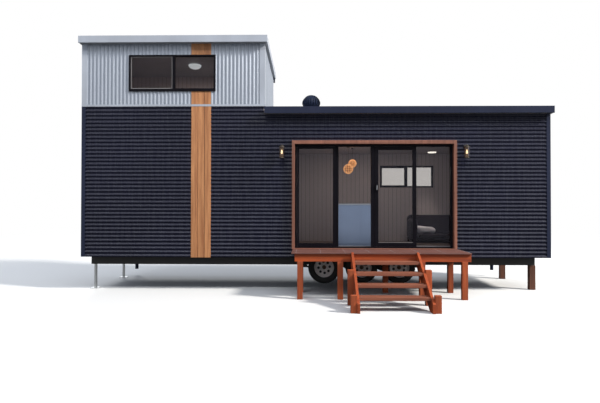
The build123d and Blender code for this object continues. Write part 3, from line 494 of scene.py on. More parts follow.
FIRST, LAST, LOFT_LAST = 0.02, 9.28, 3.65  # where the sheets start and stop
EAVE_BEHIND = 0.02
main_top = MAIN_EAVE - EAVE_BEHIND * FALL
loft_top = LOFT_EAVE - EAVE_BEHIND * FALL
main_back = MAIN_EAVE - DEPTH * FALL
loft_back = LOFT_EAVE - DEPTH * FALL
pane_left, pane_right, pane_low, pane_high = LOFT_WINDOW
back_left, back_right, back_low, back_high = BACK_WINDOW
FRONT_CORNER, BACK_CORNER = (LEFT, FRONT, 0), (LEFT, BACK, 0)
X, Y, Z = (1, 0, 0), (0, 1, 0), (0, 0, 1)
MINUS_X, MINUS_Y = (-1, 0, 0), (0, -1, 0)
for name, origin, along, wide, inward, made, replaced, panels in (
    ("front_sheets", FRONT_CORNER, X, Z, Y, steel_dark, "front_cladding", (
        (FIRST, STRIP[0], SKIRT, LOFT_BASE), (STRIP[1], LOFT_LAST, SKIRT, LOFT_BASE),
        (LOFT_LAST, DOOR_GAP[0], SKIRT, main_top), (*DOOR_GAP, DOOR_TOP, main_top),
        (*DOOR_GAP, SKIRT, DECK_TOP), (DOOR_GAP[1], LAST, SKIRT, main_top))),
    ("back_sheets", BACK_CORNER, X, Z, MINUS_Y, steel_dark, "back_cladding", (
        (FIRST, back_left, SKIRT, main_back), (back_right, LAST, SKIRT, main_back),
        (back_left, back_right, SKIRT, back_low), (back_left, back_right, back_high, main_back),
        (FIRST, LOFT_LAST, main_back, LOFT_BASE))),
    ("end_sheets", (RIGHT, FRONT, 0), Y, Z, MINUS_X, steel_dark, "end_cladding", (
        (0, DEPTH, SKIRT, main_back), (0, end_reach, main_back, MAIN_EAVE))),
    ("left_end_sheets", FRONT_CORNER, Y, Z, X, steel_dark, None, (
        (0, DEPTH, SKIRT, LOFT_BASE),)),
    ("loft_front_sheets", FRONT_CORNER, Z, X, Y, steel_zinc, "loft_front_cladding", (
        (LOFT_BASE, loft_top, FIRST, pane_left), (LOFT_BASE, pane_low, pane_left, STRIP[0]),
        (pane_high, loft_top, pane_left, STRIP[0]), (LOFT_BASE, pane_low, STRIP[1], pane_right),
        (pane_high, loft_top, STRIP[1], pane_right),
        (LOFT_BASE, loft_top, pane_right, LOFT_LAST))),
    ("loft_back_sheets", BACK_CORNER, Z, X, MINUS_Y, steel_zinc, "loft_rear_cladding", (
        (LOFT_BASE, loft_back, FIRST, LOFT_LAST),)),
    ("loft_left_sheets", FRONT_CORNER, Z, Y, X, steel_zinc, None, (
        (LOFT_BASE, under_loft_roof, 0, DEPTH),)),
    ("loft_right_sheets", (LEFT + LOFT_WIDE, FRONT, 0), Z, Y, MINUS_X, steel_zinc, None, (
        (over_main_roof, under_loft_roof, 0, DEPTH),)),
):
    sheet = wave_sheet(name, origin, along, wide, inward, panels, made)
    if replaced:
        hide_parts(replaced)


# Round pieces

def turned_shape(profile, steps, closed=False, ripple=None):
    """A part from a profile of (radius, height) points, open or closed, turned about Z."""
    verts, faces = [], []
    count = len(profile)
    for step, angle in enumerate(circle(steps)):
        for index, (radius, height) in enumerate(profile):
            if ripple:
                radius = ripple(step, index, radius)
            verts.append((radius * cos(angle), radius * sin(angle), height))
    for step in range(steps):
        near, far = step * count, (step + 1) % steps * count
        for index in range(count if closed else count - 1):
            after = (index + 1) % count
            faces.append((near + index, far + index, far + after, near + after))
    return verts, faces


def turned(name, profile, made, place, body="house", steps=48, closed=False):
    """A smooth turned piece."""
    piece = solid(name, *turned_shape(profile, steps, closed), made, body, place, True)
    mark_sharp(piece.data)
    return piece


def plate_with_holes(circles, thickness, rounding):
    """A part for a flat plate in XY with rounded edges.

    Each circle is (centre, radius, points): the plate's outline, then its holes.
    """
    curve = bpy.data.curves.new("plate", "CURVE")
    curve.dimensions = "2D"
    curve.fill_mode = "BOTH"
    curve.extrude = thickness / 2 - rounding
    curve.bevel_depth = rounding
    curve.bevel_resolution = 2
    for (x, y, z), radius, count in circles:
        line = curve.splines.new("POLY")
        line.points.add(count - 1)
        for point, angle in zip(line.points, circle(count)):
            point.co = (x + radius * cos(angle), y + radius * sin(angle), z, 1)
        line.use_cyclic_u = True
    holder = placed("plate", curve)
    bpy.context.view_layer.update()
    mesh = bpy.data.meshes.new_from_object(evaluated(holder))
    bpy.data.objects.remove(holder)
    bpy.data.curves.remove(curve)
    return [tuple(v.co) for v in mesh.vertices], [tuple(f.vertices) for f in mesh.polygons]


def joined(name, rows):
    """One mesh from (part, material, smooth) rows."""
    verts, faces = merged(part for part, made, smooth in rows)
    mesh = bpy.data.meshes.new(name)
    mesh.from_pydata(verts, [], faces)
    used = list(dict.fromkeys(made for part, made, smooth in rows))
    which, soft = [], []
    for (verts, faces), made, smooth in rows:
        which += [used.index(made)] * len(faces)
        soft += [smooth] * len(faces)
    for made in used:
        mesh.materials.append(made)
    mesh.polygons.foreach_set("material_index", which)
    mesh.polygons.foreach_set("use_smooth", soft)
    mesh.update()
    return mesh


# Wheels: a tyre with grooves and lugs, a rim with a holed disc, a drum, nuts and a cap
LUGS = {6, 7, 8, 9, 10, 21, 22, 23, 24, 25}  # points of the profile that the lugs cut
LUG_DEPTH = 0.006
HOLE_RING, HOLE_RADIUS = 0.114, 0.0285
NUT_RING, NUT_HOLE = 0.066, 0.007
DISC_RADIUS, DISC_UP, DISC_THICK, DISC_ROUND = 0.158, 0.014, 0.008, 0.0015
BULGE, BULGE_RING, BULGE_HALF = 0.012, 0.09, 0.05
HUB_HOLE = 0.041
AXLES_AT, AXLE_PITCH, AXLE_UP, WHEEL_INSET = 5.605, 0.75, 0.465, 0.1875
half_tyre = [
    (0.1965, 0.074), (0.203, 0.081), (0.222, 0.0885), (0.246, 0.092), (0.27, 0.0915),
    (0.291, 0.087), (0.304, 0.079), (0.3125, 0.07), (0.3165, 0.064), (0.3185, 0.058),
    (0.319, 0.046), (0.3105, 0.044), (0.3105, 0.037), (0.3195, 0.035), (0.3198, 0.012),
    (0.3108, 0.01),
]
RIM = [
    (0.1955, 0.0745), (0.1955, 0.066), (0.184, 0.06), (0.18, 0.03), (0.16, 0.024),
    (0.16, -0.04), (0.18, -0.056), (0.1955, -0.066), (0.1955, -0.0745), (0.188, -0.0745),
    (0.176, -0.062), (0.155, -0.044), (0.155, 0.019), (0.174, 0.024), (0.178, 0.06),
    (0.188, 0.0745),
]
CAP = [(AXIS, 0.052), (0.012, 0.0515), (0.024, 0.049), (0.031, 0.044), (0.033, 0.034),
       (0.0405, 0.032), (0.0405, 0.01), (AXIS, 0.01)]
DRUM = [(AXIS, 0.006), (0.128, 0.006), (0.14, 0), (0.144, -0.012), (0.144, -0.06),
        (AXIS, -0.06)]
NUT = [(AXIS, 0.034), (0.006, 0.034), (0.0085, 0.031), (0.0085, 0.02), (AXIS, 0.02)]


def lugs(step, index, radius):
    """The tyre's radius, cut between lugs at every fourth step."""
    return radius - LUG_DEPTH if step % 4 == 0 and index in LUGS else radius


def ring_places(radius, count, shift=0):
    """Places spaced evenly round a ring."""
    return [(radius * cos(angle), radius * sin(angle), 0) for angle in circle(count, shift)]


disc = plate_with_holes(
    [((0, 0, 0), DISC_RADIUS, 96), ((0, 0, 0), HUB_HOLE, 48)]
    + [(place, HOLE_RADIUS, 24) for place in ring_places(HOLE_RING, 8, 0.5)]
    + [(place, NUT_HOLE, 12) for place in ring_places(NUT_RING, 5)], DISC_THICK, DISC_ROUND)
disc_verts = []
for x, y, z in disc[0]:
    off_bulge = abs(dist((x, y), (0, 0)) - BULGE_RING) / BULGE_HALF
    disc_verts.append((x, y, z + DISC_UP + BULGE * max(0, 1 - off_bulge)))
tyre = half_tyre + [(radius, -height) for radius, height in reversed(half_tyre)]
wheel_mesh = joined("wheel", [
    (turned_shape(tyre, 144, True, lugs), rubber, True),
    (turned_shape(RIM, 96, True), rim_paint, True),
    ((disc_verts, disc[1]), rim_paint, False),
    (turned_shape(CAP, 48), hub_bronze, True),
    (turned_shape(DRUM, 64), chassis_black, True),
    *((moved(turned_shape(NUT, 6), place), zinc_dip, False) for place in ring_places(NUT_RING, 5)),
])
mark_sharp(wheel_mesh)
for side, facing, depth in (
    ("front", pi / 2, FRONT + WHEEL_INSET), ("back", -pi / 2, BACK - WHEEL_INSET),
):
    for number in (1, 2, 3):
        place = (LEFT + AXLES_AT + AXLE_PITCH * (number - 2), depth, AXLE_UP)
        wheel = placed(f"wheel_{side}_{number}_detail", wheel_mesh, place)
        wheel.rotation_euler = (facing, 0.3 * number, 0)
        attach(wheel, f"wheel_{side}_{number}")
        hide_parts(f"wheel_{side}_{number}")

# Lanterns, with heights from the cap's top
LANTERN_PARTS = (
    # name, material, steps, closed, profile
    ("cap", lamp_metal, 48, False, [
        (AXIS, 0), (0.01, 0), (0.012, -0.01), (0.02, -0.014), (0.034, -0.026),
        (0.052, -0.04), (0.056, -0.046), (0.056, -0.054), (0.05, -0.056), (0.03, -0.052),
        (AXIS, -0.05)]),
    ("base", lamp_metal, 48, False, [
        (AXIS, -0.272), (0.03, -0.272), (0.05, -0.27), (0.052, -0.264), (0.05, -0.258),
        (0.044, -0.256), (AXIS, -0.256)]),
    ("finial", lamp_metal, 24, False, [
        (AXIS, -0.284), (0.006, -0.283), (0.009, -0.278), (0.006, -0.273), (0.01, -0.27),
        (AXIS, -0.268)]),
    ("jar", jar_glass, 48, True, [
        (0.046, -0.054), (0.0475, -0.07), (0.0485, -0.12), (0.0485, -0.2), (0.046, -0.245),
        (0.04, -0.256), (0.038, -0.254), (0.0435, -0.243), (0.046, -0.2), (0.046, -0.12),
        (0.045, -0.07), (0.0435, -0.054)]),
    ("bulb", bulb_glow, 32, False, [
        (AXIS, -0.186), (0.008, -0.183), (0.015, -0.173), (0.018, -0.157), (0.015, -0.138),
        (0.01, -0.12), (0.0095, -0.102), (AXIS, -0.1)]),
    ("socket", lamp_metal, 32, False, [
        (0.014, -0.05), (0.014, -0.098), (0.012, -0.104), (AXIS, -0.104)]),
    ("plate", lamp_metal, 48, False, [
        (AXIS, 0.012), (0.03, 0.012), (0.036, 0.009), (0.038, 0), (AXIS, 0)]),
)
LANTERN_TOP, LANTERN_OUT = 2.903, 0.095
ARM_DROP, ARM_RISE, ARM_REACH, ARM_RADIUS = 0.03, 0.02, 0.085, 0.007
ARM_SIDES = 12
CAGE_RING = 0.0515
cage_rod = turned_shape([(0.0022, -0.052), (0.0022, -0.262)], 8)
cage_shape = merged(moved(cage_rod, place) for place in ring_places(CAGE_RING, 4, 0.5))
for number, across in enumerate((4.014, 7.637), 1):
    x, top = LEFT + across, LANTERN_TOP
    place = (x, FRONT - LANTERN_OUT, top)
    pieces = {}
    for part, made, steps, closed, profile in LANTERN_PARTS:
        slot = "lamp_body" if made is lamp_metal else "lamp_glass"
        pieces[part] = turned(f"lantern_{part}_{number}", profile, made, place,
                              steps=steps, closed=closed)
    pieces["plate"].rotation_euler = (pi / 2, 0, 0)
    pieces["plate"].location = (x, FRONT, top - ARM_DROP)
    verts, faces = [], []
    for step in range(ARM_SIDES + 1):
        share = step / ARM_SIDES
        depth = FRONT - 0.01 - ARM_REACH * share
        middle = Vector((x, depth, top - ARM_DROP + ARM_RISE * sin(pi * share)))
        verts += [middle + Vector((ARM_RADIUS * cos(angle), 0, ARM_RADIUS * sin(angle)))
                  for angle in circle(ARM_SIDES)]
    for step in range(0, ARM_SIDES * ARM_SIDES, ARM_SIDES):
        for turn in range(ARM_SIDES):
            a, b = step + turn, step + (turn + 1) % ARM_SIDES
            faces.append((a, b, b + ARM_SIDES, a + ARM_SIDES))
    arm = solid(f"lantern_arm_{number}", verts, faces, lamp_metal, smooth=True)
    cage = solid(f"lantern_cage_{number}", *cage_shape, lamp_metal, "house", place, True)
    if number == 1:
        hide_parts("lantern_brackets")
        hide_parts("lantern_jars")


# Pendants: openwork globes around a small lit ball, hung on thin stems

def ball(radius, steps):
    """A profile from pole to pole of a ball."""
    return [(max(AXIS, radius * sin(pi * n / steps)), radius * cos(pi * n / steps))
            for n in range(steps + 1)]


PENDANTS = ((5.493, 1, 2.622, 0.084), (5.383, 0.75, 2.484, 0.1))
for number, (across, inward, up, radius) in enumerate(PENDANTS, 1):
    centre = (LEFT + across, FRONT + inward, up)
    rise = CEILING - up
    stem_line = [(0.002, radius * 0.9), (0.002, rise - 0.02), (0.03, rise - 0.018), (0.03, rise)]
    globe = turned(f"pendant_globe_{number}", ball(radius, 7), pendant_amber,
                   centre, steps=12)
    modify(globe, "WIREFRAME", thickness=0.011, use_replace=True)
    turned(f"pendant_core_{number}", ball(radius * 0.72, 12), pendant_core,
           centre, steps=24)
    turned(f"pendant_stem_{number}", stem_line, black_section, centre, steps=16)
    if number == 1:
        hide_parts("pendant_lamps")

# Ceiling lamps: a flat round one in the room and a bowl under the loft roof
BOWL_RADIUS, BOWL_DROP = 0.139, 0.08
bowl = [(max(AXIS, BOWL_RADIUS * sin(0.5 * pi * n / 10)), 0.004 - BOWL_DROP * cos(0.5 * pi * n / 10))
        for n in range(11)]
room_lamp = turned("ceiling_lamp_room", [
    (AXIS, 0), (0.07, 0.0005), (0.086, 0.003), (0.092, 0.008), (0.092, 0.012),
    (0.0985, 0.013), (0.0995, 0.016), (0.0995, 0.022), (AXIS, 0.022),
], lamp_glow, (LEFT + 7.412, FRONT + 1.85, 2.938), steps=64)
turned("ceiling_lamp_loft", bowl + [(0.1445, 0.005), (0.1448, 0.012), (0.139, 0.015), (AXIS, 0.015)],
       lamp_cool, (LEFT + 1.96, FRONT + 1.397, 4.873), steps=64)
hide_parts("ceiling_lamps")


# Square pieces

def box(low, high):
    """A part for a box between two corners."""
    verts = [(x, y, z) for x in (low[0], high[0]) for y in (low[1], high[1]) for z in (low[2], high[2])]
    return verts, [(0, 1, 3, 2), (4, 6, 7, 5), (0, 4, 5, 1), (2, 3, 7, 6), (0, 2, 6, 4), (1, 5, 7, 3)]


def boxes(name, spans, made, body="house", round_off=0.001):
    """One piece of boxes with rounded edges, measured from the left wall and the front."""
    parts = [box((LEFT + x0, FRONT + y0, z0), (LEFT + x1, FRONT + y1, z1))
             for (x0, x1), (y0, y1), (z0, z1) in spans]
    piece = solid(name, *merged(parts), made, body)
    modify(piece, "BEVEL", width=round_off, segments=2, limit_method="ANGLE")
    return piece


def ring_of(across, inward, up, wide):
    """Four boxes that make an upright frame inside its limits."""
    (x0, x1), (z0, z1) = across, up
    between = (x0 + wide, x1 - wide)
    return [((x0, x0 + wide), inward, up), ((x1 - wide, x1), inward, up),
            (between, inward, (z0, z0 + wide)), (between, inward, (z1 - wide, z1))]


# Kitchen bench: a panelled carcass with a recessed plinth under a pale top
PANEL = ((0.5, 0.512), (0.915, 1.705))
bench = boxes("bench_carcass", [
    ((5.125, 5.855), (0.515, 1.285), (FLOOR, 0.905)), ((5.118, 5.862), (0.508, 1.292), (0.905, 1.713)),
    ((5.11, 5.354), *PANEL), ((5.357, 5.623), *PANEL), ((5.626, 5.87), *PANEL),
], bench_blue, round_off=0.0015)
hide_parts("kitchen_bench")
boxes("bench_slab", [((5.095, 5.885), (0.485, 1.315), (1.715, 1.745))], bench_top,
      round_off=0.004)


# Sofa and cushion: closed pads blown up as cloth, then seams laid on them

def outlined(points, near, far):
    """A prism between two distances from the front, from (across, up) points."""
    count = len(points)
    verts = [(LEFT + x, FRONT + y, z) for y in (near, far) for x, z in points]
    faces = [tuple(range(count)), tuple(reversed(range(count, 2 * count)))]
    faces += [(n, n + count, (n + 1) % count + count, (n + 1) % count) for n in range(count)]
    return verts, faces


def round_top(x0, x1, z0, z1, left=0.02, right=0.02):
    """An outline with a flat base and its own radius at each upper corner."""
    points = [(x0, z0), (x1, z0)]
    for corner, radius, start in ((x1 - right, right, 0), (x0 + left, left, 0.5 * pi)):
        for step in range(7):
            angle = start + 0.5 * pi * step / 6
            points.append((corner + radius * cos(angle), z1 - radius + radius * sin(angle)))
    return points


def pillow_line(x0, x1, z0, z1):
    """A tipped cushion: a pointed upper corner, then an arch down to the end."""
    flat, low = x0 + 0.14, z0 + 0.03
    points = [(x0 + 0.075, z0), (x1 - 0.05, z0), (x1 - 0.008, low)]
    for step in range(1, 12):
        angle = 0.5 * pi * step / 12
        points.append((flat + (x1 - flat) * cos(angle) ** 0.75, low + (z1 - low) * sin(angle) ** 0.7))
    return points + [(flat, z1), (x0 + 0.012, z1 - 0.004), (x0, z1 - 0.018)]


SOFA_PADS = (
    # name, outline, nearest and farthest distance, voxel, largest move, fill
    ("sofa_base", round_top(6.885, 8.595, 0.915, 0.96), 1.445, 2.235, 0.02, 0.006, 0.95),
    ("sofa_seat_left", round_top(7.012, 7.732, 0.97, 1.044, 0.03, 0.03), 1.445, 2.045, 0.016, 0.016, 0.8),
    ("sofa_seat_right", round_top(7.748, 8.468, 0.97, 1.044, 0.03, 0.03), 1.445, 2.045,
     0.016, 0.016, 0.8),
    ("sofa_back_pad", round_top(6.88, 8.6, 0.965, 1.508, 0.11, 0.11), 2.085, 2.235, 0.02, 0.014, 0.85),
    ("sofa_arm_left", round_top(6.88, 6.992, 0.96, 1.412, 0.06, 0.04), 1.445, 2.075, 0.018, 0.013, 0.9),
    ("sofa_arm_right", round_top(8.488, 8.6, 0.96, 1.412, 0.04, 0.06), 1.445, 2.075, 0.018, 0.013, 0.9),
    ("loose_cushion", pillow_line(7.048, 7.53, 1.062, 1.24), 1.965, 2.04, 0.01, 0.026, 0.65),
)
CUSHION = "loose_cushion"
SEAM_OUT, SEAM_STEP = 0.02, 0.03
BLOW_FRAMES = 20
pads = []
for name, outline, near, far, voxel, cap, fill in SOFA_PADS:
    pad = solid(name, *outlined(outline, near, far), cushion_cloth if name == CUSHION else sofa_cloth)
    modify(pad, "REMESH", mode="VOXEL", voxel_size=voxel)
    bpy.context.view_layer.update()
    shaped = bpy.data.meshes.new_from_object(evaluated(pad))
    pad.modifiers.clear()
    pad.data = shaped
    shaped.name = name
    blow = pad.modifiers.new("blow", "CLOTH")
    blow.settings.use_pressure = True
    blow.settings.uniform_pressure_force = 4
    blow.settings.effector_weights.gravity = 0
    blow.settings.quality = 4
    blow.point_cache.frame_end = BLOW_FRAMES
    pads.append(pad)
for turn in range(1, BLOW_FRAMES + 1):
    scene.frame_set(turn)
for pad, (name, outline, near, far, voxel, cap, fill) in zip(pads, SOFA_PADS):
    blown = [vertex.co.copy() for vertex in evaluated(pad).data.vertices]
    pad.modifiers.clear()
    base = min(z for x, z in outline)
    for vertex, target in zip(pad.data.vertices, blown):
        move = target - vertex.co
        if move.length > cap:
            move *= cap / move.length
        vertex.co += move
        vertex.co.z = max(vertex.co.z, base - 0.002)
    pad.data.polygons.foreach_set("use_smooth", [True] * len(pad.data.polygons))
    modify(pad, "SUBSURF", levels=1, render_levels=1)
scene.frame_set(1)
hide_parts("sofa")
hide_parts("sofa_cushion")


def walk(corners, least):
    """Points spaced round a closed line of (across, inward, up) corners."""
    points = []
    for start, stop in zip(corners, corners[1:] + corners[:1]):
        steps = max(least, int(dist(start, stop) / SEAM_STEP))
        for n in range(steps):
            x, y, z = (a + (b - a) * n / steps for a, b in zip(start, stop))
            points.append((LEFT + x, FRONT + y, z))
    return points


def piping(name, pad, points, radius, made):
    """A closed welt that follows a pad's surface near a line of points."""
    mesh = pad.data
    surface = BVHTree.FromPolygons([v.co for v in mesh.vertices], [p.vertices for p in mesh.polygons])
    curve = bpy.data.curves.new(name, "CURVE")
    curve.dimensions = "3D"
    curve.bevel_depth = radius
    curve.bevel_resolution = 2
    line = curve.splines.new("POLY")
    line.points.add(len(points) - 1)
    for place, point in zip(points, line.points):
        point.co = (*surface.find_nearest(Vector(place))[0], 1)
    line.use_cyclic_u = True
    curve.materials.append(made)
    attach(placed(name, curve), "house")


for pad, (name, outline, near, far, voxel, cap, fill) in zip(pads, SOFA_PADS):
    if "seat" in name:
        x0, x1 = min(x for x, z in outline) - SEAM_OUT, max(x for x, z in outline) + SEAM_OUT
        y0, y1 = near - SEAM_OUT, far + SEAM_OUT
        for level, z in (("upper", 1.05), ("lower", 0.968)):
            corners = [(x0, y0, z), (x1, y0, z), (x1, y1, z), (x0, y1, z)]
            piping(f"{name}_{level}_welt", pad, walk(corners, 2), 0.004, seam_cloth)
    elif name == CUSHION:
        corners = [(x, (near + far) / 2, z) for x, z in outline]
        piping(f"{name}_front_welt", pad, walk(corners, 1), 0.0035, cushion_cloth)
    elif name != "sofa_base":
        for level, y in (("front", near), ("back", far)):
            corners = [(x, y, z) for x, z in outline]
            piping(f"{name}_{level}_welt", pad, walk(corners, 1), 0.0035, seam_cloth)
boxes("sofa_legs", [
    ((x, x + 0.04), (y, y + 0.04), (FLOOR, 0.915)) for x in (6.905, 8.535) for y in (1.47, 2.17)
], leg_wood, round_off=0.003)

# Window beads, the fly screen's frame, the opening sash at the back, and the pull
boxes("fly_screen_frame", ring_of((0.985, 1.822), (-0.004, 0.006), (4.033, 4.675), 0.015), bead_grey)
boxes("loft_pane_bead", ring_of((1.871, 2.654), (-0.002, 0.008), (4.032, 4.676), 0.009), black_section)
boxes("back_opening_sash", ring_of((6.295, 6.883), (2.352, 2.382), (2.183, 2.647), 0.024), black_section,
      round_off=0.002)
boxes("back_pane_bead", ring_of((6.931, 7.519), (2.374, 2.382), (2.183, 2.647), 0.008), black_section)
boxes("right_sash_bead", [((5.929, 6.608), (0.03, 0.04), (0.968, 0.977))], bead_grey, body="right_sash")
boxes("left_sash_bead", [((4.353, 5.024), (0.03, 0.04), (0.948, 0.957))], black_section,
      body="left_sash")
boxes("fixed_lite_beads", [
    ((6.69, 7.354), (0.08, 0.09), (0.891, 0.905)), ((5.14, 5.782), (0.08, 0.09), (0.891, 0.9)),
], bead_grey)
boxes("pull_plate", [((5.8775, 5.9125), (-0.0075, 0.026), (1.997, 2.117))], black_section,
      body="right_sash", round_off=0.004)
boxes("pull_bar", [
    ((5.889, 5.901), (-0.0135, -0.0085), (2.012, 2.102)),
    ((5.8905, 5.8995), (-0.009, -0.006), (2.018, 2.03)),
    ((5.8905, 5.8995), (-0.009, -0.006), (2.084, 2.096)),
], handle_grey, body="right_sash", round_off=0.002)

# Turbine head: overlapping curved blades between a ring and a domed cap
VENT_PLACE = (LEFT + VENT[0], FRONT + VENT[1], 0)
BLADES, BLADE_COLUMNS, BLADE_ROWS = 24, 6, 12
BLADE_SWEEP, BLADE_CURL = radians(21), 0.17
BLADE_LOW, BLADE_TALL = 3.799, 0.239


def blade_point(start, sweep, share):
    """A point of a blade at shares of its sweep and height."""
    angle = start + BLADE_SWEEP * sweep
    reach = (0.15 + 0.2097 * share - 0.2537 * share * share) * (1 - BLADE_CURL * sweep ** 1.5)
    return reach * cos(angle), reach * sin(angle), BLADE_LOW + BLADE_TALL * share


blades = [
    grid([blade_point(start, column / BLADE_COLUMNS, row / BLADE_ROWS)
          for row in range(BLADE_ROWS + 1) for column in range(BLADE_COLUMNS + 1)], BLADE_COLUMNS + 1)
    for start in circle(BLADES)
]
head = solid("vent_blades", *merged(blades), vent_coat, "vent_rotor", VENT_PLACE, True)
mark_sharp(head.data)
modify(head, "SOLIDIFY", thickness=0.0012, offset=0)
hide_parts("vent_rotor")
for name, body, steps, closed, profile in (
    ("vent_cap", "vent_rotor", 64, False, [
        (AXIS, 4.0665), (0.02, 4.066), (0.055, 4.06), (0.084, 4.051), (0.098, 4.044),
        (0.106, 4.036), (0.108, 4.03), (0.105, 4.028), (0.1, 4.034), (AXIS, 4.04)]),
    ("vent_ring", "vent_rotor", 64, True, [
        (0.1405, 3.7965), (0.1535, 3.7965), (0.1545, 3.8), (0.1535, 3.806), (0.149, 3.808),
        (0.1405, 3.803)]),
    ("vent_hub", "vent_rotor", 32, True, [
        (0.012, 4.036), (0.024, 4.036), (0.024, 3.915), (0.021, 3.912), (0.012, 3.912)]),
    ("vent_collar", "house", 64, True, [
        (0.1505, 3.716), (0.1535, 3.714), (0.155, 3.709), (0.1535, 3.704), (0.1505, 3.702)]),
):
    turned(name, profile, vent_coat, VENT_PLACE, body, steps, closed)

# Screws on the crests of the sheets, the roofs' ribs and the deck
SCREW = turned_shape([
    (AXIS, 0.006), (0.0055, 0.006), (0.0062, 0.005), (0.0062, 0.0015), (0.0085, 0.001), (0.0085, -0.002),
], 6)
SCREW_SINK = 0.0052  # depth of a screw's head in a board
RIB_SPACING = 0.2
ROOF_ROWS = (0.05, 0.82, 1.6, 2.36)


def crest(turn):
    """Distance of a wave's crest from its sheet's origin."""
    return PITCH * turn + CREST


def roof_places(middle, ribs, eave):
    """Screw places on a roof's ribs about its middle, clear of the ventilator."""
    across = [middle + RIB_SPACING * (n - (ribs - 1) / 2) for n in range(ribs)]
    return [(LEFT + x, FRONT + y, eave + ROOF_THICK - y * FALL) for x in across for y in ROOF_ROWS
            if not (abs(x - VENT[0]) < 0.25 and abs(y - VENT[1]) < 0.25)]


rows = [crest(turn) for turn in range(9, 46, 4)]
front_rows, low_rows = [z for z in rows if z < 3.42], [z for z in rows if z < 3.34]
ends = [0.12 + 0.54 * n for n in range(5)]
joists = [4.292 + 0.0225 + (3.19 - 0.045) / 7 * n for n in range(8)]
for name, outward, made, slot, places in (
    ("front_screws", MINUS_Y, steel_dark, "dark_steel", [
        *((LEFT + x, FRONT, z) for x in (0.12, 0.75, 1.4, 2.02, 2.75, 3.35, 3.95, 7.62, 8.2, 8.75, 9.16)
          for z in front_rows),
        *((LEFT + x, FRONT, crest(turn)) for x in (4.6, 5.2, 5.8, 6.4, 7) for turn in (40, 44))]),
    ("back_screws", Y, steel_dark, "dark_steel", [
        (LEFT + x, BACK, z) for x in (0.12 + 0.6 * n for n in range(16)) for z in low_rows
        if not (6.2 < x < 7.6 and 2.1 < z < 2.72)]),
    ("right_screws", X, steel_dark, "dark_steel", [
        (RIGHT, FRONT + y, z) for y in ends for z in low_rows]),
    ("left_screws", MINUS_X, steel_dark, "dark_steel", [
        (LEFT, FRONT + y, z) for y in ends for z in rows]),
    ("loft_screws", MINUS_Y, zinc_dip, "zinc_steel", [
        (LEFT + x, FRONT, z) for x in map(crest, range(2, 47, 4)) for z in (3.78, 4.35, 4.84)
        if not (0.92 < x < 2.72 and 3.95 < z < 4.75) and not 2.17 < x < 2.62]),
    ("main_roof_screws", Z, roof_sheet, "roof_steel", roof_places(6.4875, 28, MAIN_EAVE)),
    ("loft_roof_screws", Z, roof_sheet, "roof_steel", roof_places(1.85, 18, LOFT_EAVE)),
    ("deck_screws", Z, zinc_dip, "galvanised", [
        (LEFT + x, FRONT - 0.8525 + 0.1 * board + shift, DECK_TOP - SCREW_SINK)
        for x in joists for board in range(9) for shift in (-0.026, 0.026)]),
    ("tread_screws", Z, zinc_dip, "galvanised", [
        (LEFT + x, FRONT - 1.035 - 0.28 * step + shift, 0.711 - 0.16033 * step - SCREW_SINK)
        for step in range(4) for x in (5.4, 6.45) for shift in (-0.07, 0.07)]),
):
    lay = Vector(outward).to_track_quat("Z", "Y").to_matrix()
    heads = [([Vector(place) + lay @ Vector(v) for v in SCREW[0]], SCREW[1]) for place in places]
    solid(name, *merged(heads), made)

# Drip lips along the lower edges of the fascias
for name, along, low, made, slot in (
    ("main_fascia_lip", (3.725, 9.325), 3.514, trim_dark, "dark_trim"),
    ("loft_fascia_lip", (-0.025, 3.725), 4.924, trim_pale, "pale_trim"),
):
    boxes(name, [
        (along, (-0.135, -0.127), (low, low + 0.01)), (along, (-0.135, -0.112), (low, low + 0.004)),
    ], made)

# Bevels on square-cut CAD pieces
for width, names in (
    (0.0015, "door_frame"),
    (0.002, "door_surround window_frames left_sash right_sash"),
    (0.003, "deck_boards deck_frame deck_joists stair_stringers"),
    (0.004, "deck_posts stair_posts support_posts"),
    (0.005, "stair_treads"),
    (0.009, "timber_strip"),
):
    for name in names.split():
        modify(nodes[name], "WELD", merge_threshold=0.0001)
        modify(nodes[name], "BEVEL", width=width, segments=2, limit_method="ANGLE",
               angle_limit=radians(40))


# Floor, light and background

def shows_background(tree, path):
    """1 for rays that see the background: from the camera, off gloss and through glass."""
    seen = math_node(tree, "MAXIMUM", path["Is Camera Ray"], path["Is Glossy Ray"])
    return math_node(tree, "MAXIMUM", seen, path["Is Transmission Ray"])


SKY = {"Color": (0.78, 0.86, 1), "Strength": 0.5}
WHITE = (1, 1, 1)
floor_mesh = bpy.data.meshes.new("studio_floor")
corners = [(-900, -600, 0), (900, -600, 0), (900, 1500, 0), (-900, 1500, 0)]
floor_mesh.from_pydata(corners, [], [(0, 1, 2, 3)])
floor_material, tree, shader = new_material("studio_floor")
give(tree, shader, Base_Color=(0.86, 0.86, 0.85), Roughness=1, Specular_IOR_Level=0)
path = node(tree, "LightPath")
dim = node(tree, "BsdfDiffuse", Color=(0.12, 0.12, 0.115))["BSDF"]
near = mix_shaders(tree, path["Is Camera Ray"], dim, shader.outputs["BSDF"])
far = mix_shaders(tree, shows_background(tree, path), node(tree, "Emission", **SKY)["Emission"],
                  node(tree, "Emission", Color=WHITE)["Emission"])
reach = node(tree, "VectorMath", ("operation", "LENGTH"), Vector=node(tree, "TexCoord")["Object"])
fade = spread(tree, reach["Value"], 0, 1, 9, 26)
give(tree, tree.nodes["Material Output"], Surface=mix_shaders(tree, fade, near, far))
floor_mesh.materials.append(floor_material)
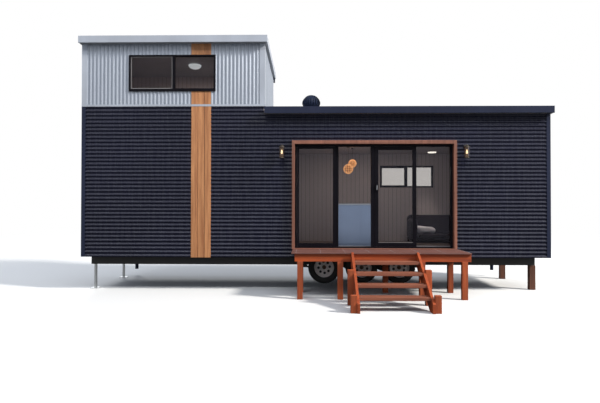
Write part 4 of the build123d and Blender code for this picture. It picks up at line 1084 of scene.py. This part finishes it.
placed("studio_floor", floor_mesh, (0, 0, -0.0005))


def area_light(name, place, aim, size, power, colour):
    """A rectangular lamp at a place, turned towards its aim."""
    data = bpy.data.lights.new(name, "AREA")
    data.shape = "RECTANGLE"
    data.size, data.size_y = size
    data.energy = power
    data.color = colour
    obj = placed(name, data, place)
    obj.rotation_mode = "QUATERNION"
    obj.rotation_quaternion = (Vector(aim) - Vector(place)).to_track_quat("-Z", "Y")
    return obj


area_light("key", (45, -19, 35), (0, 0, 2), (7, 7), 44000, (1, 0.96, 0.9))
area_light("strip", (0, -20, 24), (0, 0, 2), (40, 3), 3400, (0.92, 0.95, 1)).visible_camera = False
area_light("rear", (-20, 40, 30), (0, 1, 2), (14, 14), 9000, (0.95, 0.97, 1))
ROOM, DOOR, LOFT = (LEFT + 5.85, FRONT + 0.95), (LEFT + 5.83, FRONT + 0.13), (LEFT + 1.9, FRONT + 1.2)
for name, place, aim, size, power, colour in (
    ("room", (*ROOM, 2.93), (*ROOM, 0), (2.6, 0.4), 9, (1, 0.86, 0.76)),
    ("sofa_lamp", (LEFT + 7.41, FRONT + 1.72, 2.93), (LEFT + 7.35, FRONT + 1.95, 1.1), (0.16, 0.16), 1.6,
     (1, 0.92, 0.88)),
    ("loft", (*LOFT, 4.78), (*LOFT, 0), (0.6, 0.4), 8, (1, 0.9, 0.86)),
    ("daylight", (*DOOR, 1.9), (DOOR[0], 9, 1.9), (3, 1.9), 7, (0.74, 0.85, 1)),
):
    inside = area_light(name, place, aim, size, power, colour)
    inside.visible_camera = False
    inside.visible_glossy = False
    if name == "sofa_lamp":
        inside.data.spread = radians(46)

world = bpy.data.worlds.new("studio")
scene.world = world
world.use_nodes = True
tree = world.node_tree
tree.nodes.clear()
seen = mix_shaders(tree, shows_background(tree, node(tree, "LightPath")),
                   node(tree, "Background", **SKY)["Background"],
                   node(tree, "Background", Color=WHITE)["Background"])
give(tree, tree.nodes.new("ShaderNodeOutputWorld"), Surface=seen)
scene.view_settings.view_transform = "Standard"
